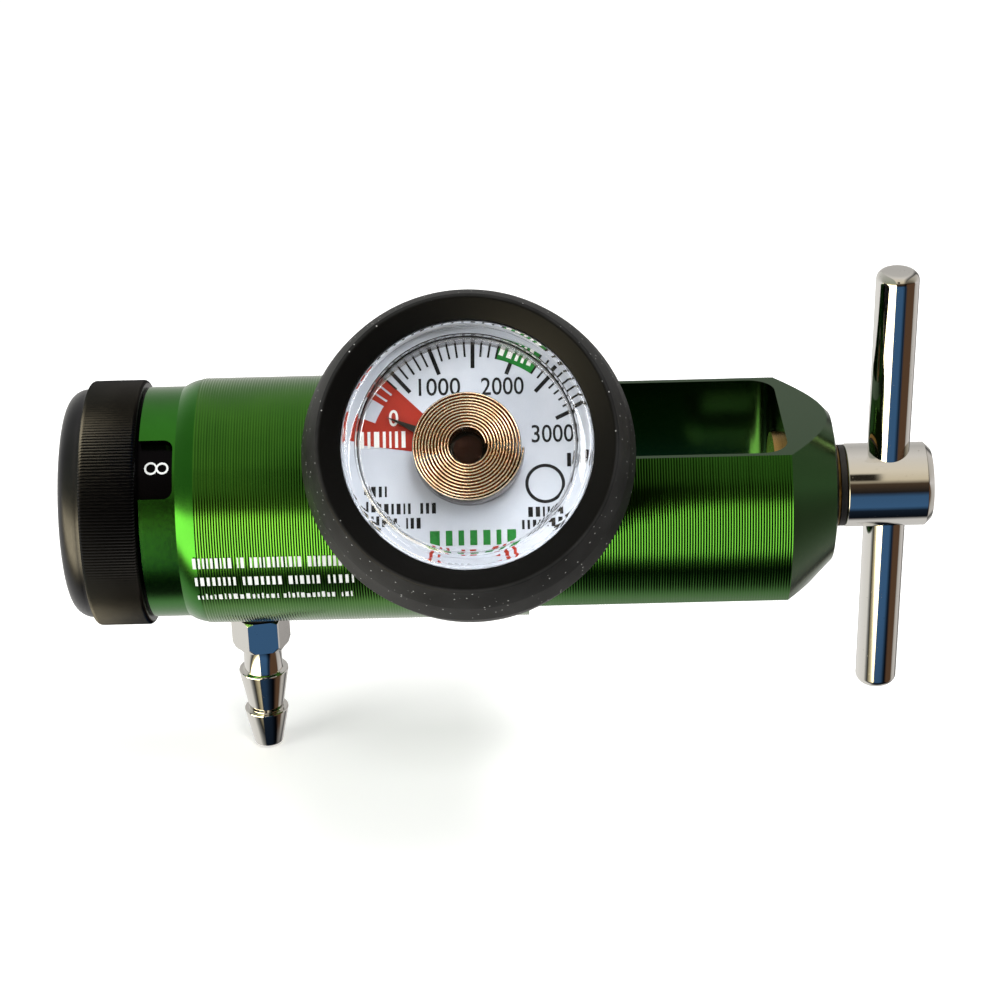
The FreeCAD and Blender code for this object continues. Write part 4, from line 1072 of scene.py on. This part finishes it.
@dataclass
class ClampingScrew:
    """The plated screw with its thread and hub, and the bar through it."""

    pitch: float = 1.5
    shank: float = 4.76
    thread_depth: float = 0.75
    thread: tuple[float, float] = (28.4, 38.2)
    bar_radius: float = 3.175
    bar_half: float = 35.65
    hub_radius: float = 6.35

    def threaded(self, along: np.ndarray, radius: np.ndarray, angle: np.ndarray) -> np.ndarray:
        """The radius less a V that climbs one pitch in each turn, along the threaded stretch.

        Args:
            along: Heights in mm.
            radius: Radii in mm.
            angle: Angles in radians.

        Returns:
            New radii in mm.
        """
        low, high = self.thread
        share = (along / self.pitch - angle / math.tau) % 1
        fade = np.clip(np.minimum(along - low, high - along) / 0.5, 0, 1)
        outer = radius > self.shank - 0.02
        return radius - self.thread_depth * fade * np.abs(1 - 2 * share) * outer

    def build(self) -> None:
        """Makes the screw and the bar."""
        profile = rounded([
            (26.3, 0.0),
            (26.3, 2.8, 0.4),
            (28.3, self.shank, 0.1),
            (48.25, self.shank),
            (48.25, self.hub_radius, 0.3, 5),
            (60.4, self.hub_radius, 0.25, 4),
            (61.4, self.hub_radius - 1.0, 0.3, 4),
            (61.4, 0.0),
        ])
        profile = spread(profile, self.pitch / 10, *self.thread)
        screw = turned("clamping_screw", MAIN, profile, 128, reshape=self.threaded)
        dress(screw, CHROME, Body.HANDLE, Slot.CHROME, "yoke_screw")
        half, r = self.bar_half, self.bar_radius
        profile = rounded([(-half, 0.0), (-half, r, 1.35, 9), (half, r, 1.35, 9), (half, 0.0)])
        bar = turned("tommy_bar_round", HANDLE, profile, 96)
        dress(bar, CHROME, Body.HANDLE, Slot.CHROME, "tommy_bar")


@dataclass
class Gauge:
    """The contents gauge: boot, print on the dial and the coil over its pointer."""

    print_height: float = 35.8
    print_x: float = 0.6
    print_y: float = -0.95
    ink: float = 0.06
    coil_low: float = 37.1
    coil_high: float = 42.0
    coil_inner: float = 2.3
    coil_outer: float = 7.8
    coil_turns: int = 12
    coil_drift: float = 0.18
    strip: float = 0.33
    numeral_height: float = 2.5
    top_ink: float = 0.04
    # Text, width and place of each number of the scale.
    scale: tuple = (("1000", 5.8, -4.44, 10.32), ("2000", 5.95, 4.32, 10.23), ("3000", 5.85, 11.15, 3.36))
    zero: tuple[float, float, float, float] = (1.3, 2.3, -10.9, 6.04)
    ring: tuple[float, float, float, float] = (9.94, -3.66, 2.31, 2.76)

    def build(self) -> None:
        """Makes every piece of the gauge."""
        self.boot()
        self.coil()
        self.numerals()
        self.small_print()
        self.plain_ring()

    def boot(self) -> None:
        """The rubber boot: sloping lip, raised ridge, flared side and rounded back."""
        profile = rounded([
            (19.8, 9.0, 0.3),
            (19.8, 21.9, 2.6, 8),
            (35.4, 23.3, 1.2, 5),
            (40.1, 22.3, 3.0, 5),
            (44.8, 20.6, 0.35, 4),
            (44.7, 20.0, 0.3, 4),
            (43.45, 17.3, 0.25, 4),
            (42.4, 17.3, 0.1),
            (42.4, 19.4),
            (21.0, 19.4),
            (21.0, 9.0, 0.3),
        ], closed=True)
        boot = turned("gauge_boot_moulded", GAUGE, profile, 160, closed=True, sharp=50)
        dress(boot, RUBBER, Body.REGULATOR, Slot.RUBBER, "gauge_boot")

    def coil(self) -> None:
        """The flat tube wound in a spiral.

        Its middle line has a radius that grows evenly with the angle, plus two slow waves that let the
        loose outer turns drift. Its section is a flattened oval, given by its corners as shares of half
        the strip's thickness and half its height: thin at both edges and swelling just below them.
        """
        pitch = (self.coil_outer - self.coil_inner - self.strip) / self.coil_turns
        angle = np.linspace(0, math.tau * self.coil_turns, 84 * self.coil_turns)[:, None]
        share = angle / angle[-1]
        drift = np.sin(0.93 * angle + 1.2) + 0.6 * np.sin(1.07 * angle)
        middle = self.coil_inner + self.strip / 2 + pitch * angle / math.tau
        middle = middle + self.coil_drift * share * drift / 2
        corner = np.array([(1, 0), (1, 0.84), (0.62, 0.93), (0.36, 0.985), (0, 1)])
        right = np.concatenate([corner[:0:-1] * (1, -1), corner])
        section = np.concatenate([right, (right * (-1, 1))[-2:0:-1]])
        across = self.strip / 2 * section[None, :, 0]
        tall = (self.coil_high - self.coil_low) / 2 * section[None, :, 1]
        size = np.where((angle <= 0) | (angle >= angle[-1]), 0.0, 1.0)
        height = (self.coil_low + self.coil_high) / 2 + tall * size
        points = GAUGE.place(height, middle + across * size, angle)
        coil = grid("bourdon_coil_wound", points[:, ::-1], sharp=60)
        dress(coil, COPPER_STRIP, Body.REGULATOR, Slot.COIL, "bourdon_coil")

    def on_dial(self, points: np.ndarray, lift: float = 0.0) -> np.ndarray:
        """Moves points drawn about the print's middle onto the dial.

        Args:
            points: Rows of three in mm.
            lift: Height above the plate in mm.

        Returns:
            Points in mm in the row frame.
        """
        return GAUGE.flat(points + np.array([self.print_x, self.print_y, self.print_height + lift]))

    def numerals(self) -> None:
        """The scale's plain numbers."""
        parts = []
        for text, width, x, y in self.scale:
            points, faces = lettering(text, width, self.numeral_height, self.ink, 0.007)
            parts.append((self.on_dial(points + np.array([x, y, 0])), faces))
        dress(solid("dial_numerals", *gathered(parts)), BLACK_INK, Body.REGULATOR, Slot.BLACK_INK)
        width, height, x, y = self.zero
        points, faces = lettering("0", width, height, self.top_ink)
        zero = solid("dial_zero", self.on_dial(points + np.array([x, y, 0]), self.ink), faces)
        dress(zero, WHITE_INK, Body.REGULATOR, Slot.DIAL)

    def small_print(self) -> None:
        """Rows of plain strokes in four inks, the white ones on top of the coloured fields."""
        black = (
            PrintRow(-13.5, -4.3, 3.0, 1.5, words=(4,)),
            PrintRow(-10.0, -6.75, 9.5, 1.5, words=(8, 3)),
            PrintRow(-10.8, -8.8, 6.8, 1.5, words=(5, 3)),
            PrintRow(9.9, -7.6, 4.8, 1.4, words=(6,)),
            PrintRow(9.4, -9.35, 5.6, 1.3, words=(7,)),
            PrintRow(14.5, -0.4, 2.9, 1.9, words=(3,)),
        )
        green = (PrintRow(-0.2, -11.0, 11.9, 2.1, words=(7,)),)
        red = (PrintRow(-0.2, -13.3, 12.0, 1.3, words=(3, 2, 3)),)
        white = (
            PrintRow(-12.6, 3.0, 6.6, 2.3, words=(7,)),
            PrintRow(6.4, 14.7, 4.7, 1.9, -22, words=(5,)),
        )
        for name, finish, slot, lift, thickness, rows in (
            ("dial_words_black", BLACK_INK, Slot.BLACK_INK, 0.0, self.ink, black),
            ("dial_words_green", GREEN_INK, Slot.GREEN_INK, 0.0, self.ink, green),
            ("dial_words_red", RED_INK, Slot.RED, 0.0, self.ink, red),
            ("dial_words_white", WHITE_INK, Slot.DIAL, self.ink, self.top_ink, white),
        ):
            points, faces = gathered([row.solids(thickness) for row in rows])
            dress(solid(name, self.on_dial(points, lift), faces), finish, Body.REGULATOR, slot)

    def plain_ring(self) -> None:
        """Makes a plain ring at the dial's lower right."""
        x, y, inner, outer = self.ring
        centre = tuple(self.on_dial(np.array([x, y, 0])))
        profile = np.array([(0.0, inner), (0.0, outer), (self.ink, outer), (self.ink, inner)])
        ring = turned("dial_plain_ring", Axis(centre, GAUGE.along, GAUGE.zero), profile, 96, closed=True)
        dress(ring, BLACK_INK, Body.REGULATOR, Slot.BLACK_INK)


@dataclass(frozen=True)
class Studio:
    """Camera, lamps, floor and surroundings."""

    view_tilt: float = 64.0
    distance: float = 394.9
    focal_px: float = 2589.3
    frame_px: float = 1000.0
    roll: float = 1.386
    yaw: float = -0.44
    shift: tuple[float, float] = (-0.972, 0.998)
    aim_x: float = -5.0
    floor_z: float = -43.4
    fill: float = 0.48
    lamp_strength: float = 5.0
    # What gloss sees round the object's length, in the middle, at the left and at the right.
    strips: tuple = (
        ((0.0, "#d2d0cd"), (0.17, "#d8d6d3"), (0.205, "#0c1016"), (0.28, "#17212e"),
         (0.315, "#3d6188"), (0.4, "#3a5c80"), (0.435, "#221f1e"), (0.5, "#4a3c2e"),
         (0.53, "#d8cbb0"), (0.6, "#e6dcc8"), (0.73, "#e0dcd6"), (0.85, "#c0bebb"), (1.0, "#d2d0cd")),
        ((0.0, "#f2f1ee"), (0.2, "#e6e4de"), (0.235, "#8c8c88"), (0.26, "#1c1c1c"),
         (0.3, "#fff0c4"), (0.46, "#fff0c4"), (0.52, "#9aa08c"), (0.75, "#b4b4ac"), (1.0, "#f2f1ee")),
        ((0.0, "#dcd8d6"), (0.13, "#bdb9b3"), (0.17, "#5a4433"), (0.45, "#5c4331"), (0.5, "#3c2c20"),
         (0.56, "#6e6657"), (0.7, "#a8a294"), (1.0, "#dcd8d6")),
    )
    # Across, left to right: where the left strip ends, where the right one begins, a dim band, the stand.
    masks: tuple = (
        ((0.365, "#ffffff"), (0.395, "#000000")),
        ((0.77, "#000000"), (0.82, "#ffffff")),
        ((0.66, "#ffffff"), (0.77, "#5a5a5a"), (0.84, "#ffffff")),
        ((0.43, "#000000"), (0.46, "#ffffff"), (0.525, "#ffffff"), (0.545, "#000000")),
    )
    # How far the left lamp and the dark stand reach round the object's length.
    lamp_strip: tuple = ((0.29, "#000000"), (0.32, "#ffffff"), (0.44, "#ffffff"), (0.47, "#000000"))
    stand_strip: tuple = ((0.515, "#000000"), (0.53, "#ffffff"), (0.57, "#ffffff"), (0.585, "#000000"))
    stand_colour: str = "#28231c"
    paper: str = "#f4f4f2"
    paper_glow: float = 0.35
    reach: float = 3000.0
    # Name, place (right, up, towards the camera), size in mm and watts of each lamp.
    lamps: tuple = (
        ("soft_left", (-420, -120, 260), (260, 420), 3.0),
        ("soft_top", (120, 520, 260), (500, 260), 3.0),
        ("soft_low", (60, -420, 200), (420, 200), 2.0),
        ("key_above_camera", (60, 150, 430), (90, 90), 0.6),
    )

    def axes(self) -> tuple[np.ndarray, np.ndarray, np.ndarray]:
        """The picture's right, its up and the way to the camera, before roll and yaw."""
        towards = np.array(leaned(self.view_tilt))
        return np.array([1.0, 0, 0]), np.cross(towards, (1, 0, 0)), towards

    def camera(self) -> None:
        """Sets the camera where the photograph was taken from."""
        x, up, towards = self.axes()
        yaw, roll = math.radians(self.yaw), math.radians(self.roll)
        level = math.cos(yaw) * x + math.sin(yaw) * towards
        back = -math.sin(yaw) * x + math.cos(yaw) * towards
        right = math.cos(roll) * level - math.sin(roll) * up
        top = math.sin(roll) * level + math.cos(roll) * up
        place = np.array([self.aim_x, 0, 0]) + self.distance * back
        place -= self.shift[0] * right + self.shift[1] * top
        data = bpy.data.cameras.new("camera")
        data.sensor_width = 36.0
        data.lens = self.focal_px / self.frame_px * data.sensor_width
        camera = bpy.data.objects.new("camera", data)
        turn = Matrix((right, top, back)).transposed().to_4x4()
        camera.matrix_world = Matrix.Translation(Vector(place * MM)) @ turn
        bpy.context.scene.collection.objects.link(camera)
        bpy.context.scene.camera = camera

    def lamp(self, name: str, place: tuple[float, float, float], size: tuple[float, float],
             watts: float) -> None:
        """Adds a soft rectangular lamp that faces the object.

        Args:
            name: The lamp's name.
            place: Its place in mm along the picture's right, its up and towards the camera.
            size: Its width and height in mm.
            watts: Its power.
        """
        x, up, towards = self.axes()
        spot = place[0] * x + place[1] * up + place[2] * towards
        data = bpy.data.lights.new(name, "AREA")
        data.shape = "RECTANGLE"
        data.size, data.size_y = size[0] * MM, size[1] * MM
        data.energy = watts
        lamp = bpy.data.objects.new(name, data)
        lamp.visible_glossy = False
        lamp.location = Vector(spot * MM)
        lamp.rotation_euler = Vector(-spot).to_track_quat("-Z", "Y").to_euler()
        bpy.context.scene.collection.objects.link(lamp)

    def surroundings(self) -> None:
        """White seen directly, and for gloss a room that is told by direction.

        A direction's parts along the picture's right, its up and towards the camera give a turn about the
        object's length and a lean to the left or right. One strip of colours runs round the turn for each
        of the middle, the left and the right. A soft lamp stands low at the left, and a dark stand ahead.
        """
        world = bpy.data.worlds.new("room")
        bpy.context.scene.world = world
        world.use_nodes = True
        tree = world.node_tree
        tree.nodes.clear()
        x, up, towards = self.axes()
        way = add(tree, "TexCoord").outputs["Generated"]
        dots = [add(tree, "VectorMath", {0: way, 1: tuple(line)}, operation="DOT_PRODUCT")
                for line in (x, up, towards)]
        parts = [dot.outputs["Value"] for dot in dots]
        turn = add(tree, "Math", {0: parts[1], 1: parts[2]}, operation="ARCTAN2").outputs[0]
        share = add(tree, "MapRange", {"Value": turn, "From Min": -math.pi, "From Max": math.pi}).outputs[0]
        across = add(tree, "MapRange", {"Value": parts[0], "From Min": -1.0, "From Max": 1.0}).outputs[0]
        strips = [add(tree, "ValToRGB", {"Fac": share}, stops=row).outputs[0] for row in self.strips]
        masks = [add(tree, "ValToRGB", {"Fac": across}, stops=row).outputs[0] for row in self.masks]
        some = add(tree, "MixRGB", {0: masks[0], 1: strips[0], 2: strips[1]}).outputs[0]
        both = add(tree, "MixRGB", {0: masks[1], 1: some, 2: strips[2]}).outputs[0]
        dimmed = add(tree, "MixRGB", {0: 1.0, 1: both, 2: masks[2]}, blend_type="MULTIPLY").outputs[0]
        stand = add(tree, "ValToRGB", {"Fac": share}, stops=self.stand_strip).outputs[0]
        dark = add(tree, "Math", {0: stand, 1: masks[3]}, operation="MULTIPLY").outputs[0]
        room = add(tree, "MixRGB", {0: dark, 1: dimmed, 2: linear(self.stand_colour)}).outputs[0]
        window = add(tree, "ValToRGB", {"Fac": share}, stops=self.lamp_strip).outputs[0]
        lamp = add(tree, "Math", {0: window, 1: masks[0]}, operation="MULTIPLY").outputs[0]
        strength = add(tree, "Math", {0: lamp, 1: self.lamp_strength, 2: 1.0}, operation="MULTIPLY_ADD")
        glossy = add(tree, "Background", {"Color": room, "Strength": strength.outputs[0]}).outputs[0]
        plain = add(tree, "Background", {"Color": linear("#ffffff"), "Strength": 1.0}).outputs[0]
        soft = add(tree, "Background", {"Color": linear("#ffffff"), "Strength": self.fill}).outputs[0]
        path = add(tree, "LightPath")
        seen = add(tree, "MixShader", {0: path.outputs["Is Camera Ray"], 1: soft, 2: plain}).outputs[0]
        lit = add(tree, "MixShader", {0: path.outputs["Is Transmission Ray"], 1: seen, 2: plain}).outputs[0]
        mixed = add(tree, "MixShader", {0: path.outputs["Is Glossy Ray"], 1: lit, 2: glossy}).outputs[0]
        add(tree, "OutputWorld", {"Surface": mixed})

    def floor(self) -> None:
        """A plain pale floor, which keeps the object's shadow and meets the white around it."""
        corners = self.reach * np.array([[-1, -1], [1, -1], [1, 1], [-1, 1]])
        points = np.column_stack([corners, np.full(4, self.floor_z)])
        floor = solid("floor", points, [[0, 1, 2, 3]])
        made = bpy.data.materials.new("floor_white_paper")
        made.use_nodes = True
        tree = made.node_tree
        shader = tree.nodes["Principled BSDF"]
        shader.inputs["Base Color"].default_value = linear(self.paper)
        shader.inputs["Roughness"].default_value = 0.8
        shader.inputs["Specular IOR Level"].default_value = 0.0
        path = add(tree, "LightPath").outputs["Is Camera Ray"]
        glow = add(tree, "Emission", {"Color": linear("#ffffff"), "Strength": self.paper_glow}).outputs[0]
        bright = add(tree, "AddShader", {0: shader.outputs[0], 1: glow}).outputs[0]
        mixed = add(tree, "MixShader", {0: path, 1: shader.outputs[0], 2: bright}).outputs[0]
        tree.links.new(mixed, tree.nodes["Material Output"].inputs["Surface"])
        floor.data.materials.append(made)
        floor.visible_glossy = False

    def build(self) -> None:
        """Sets the whole studio."""
        bpy.context.scene.view_settings.view_transform = "Standard"
        self.camera()
        self.surroundings()
        self.floor()
        for row in self.lamps:
            self.lamp(*row)


def paint_frame(frame: dict) -> None:
    """Gives each carried-over CAD node its finish, and lets light through the lens onto the dial.
    """
    for finish, names in CAD_FINISHES.items():
        for name in names:
            mesh = frame["nodes"][name].data
            mesh.materials.clear()
            mesh.materials.append(finish.material())
    frame["nodes"]["gauge_lens"].visible_shadow = False


def main() -> None:
    """Loads the frame, builds each sub-assembly and sets the studio."""
    logging.basicConfig(level=logging.INFO, format="%(name)s %(message)s")
    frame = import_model()
    paint_frame(frame)
    for part in (Barrel(), FlowKnob(), HoseBarb(), ClampingScrew(), Gauge(), Studio()):
        LOG.info("building %s", type(part).__name__)
        part.build()


if __name__ == "__main__":
    main()
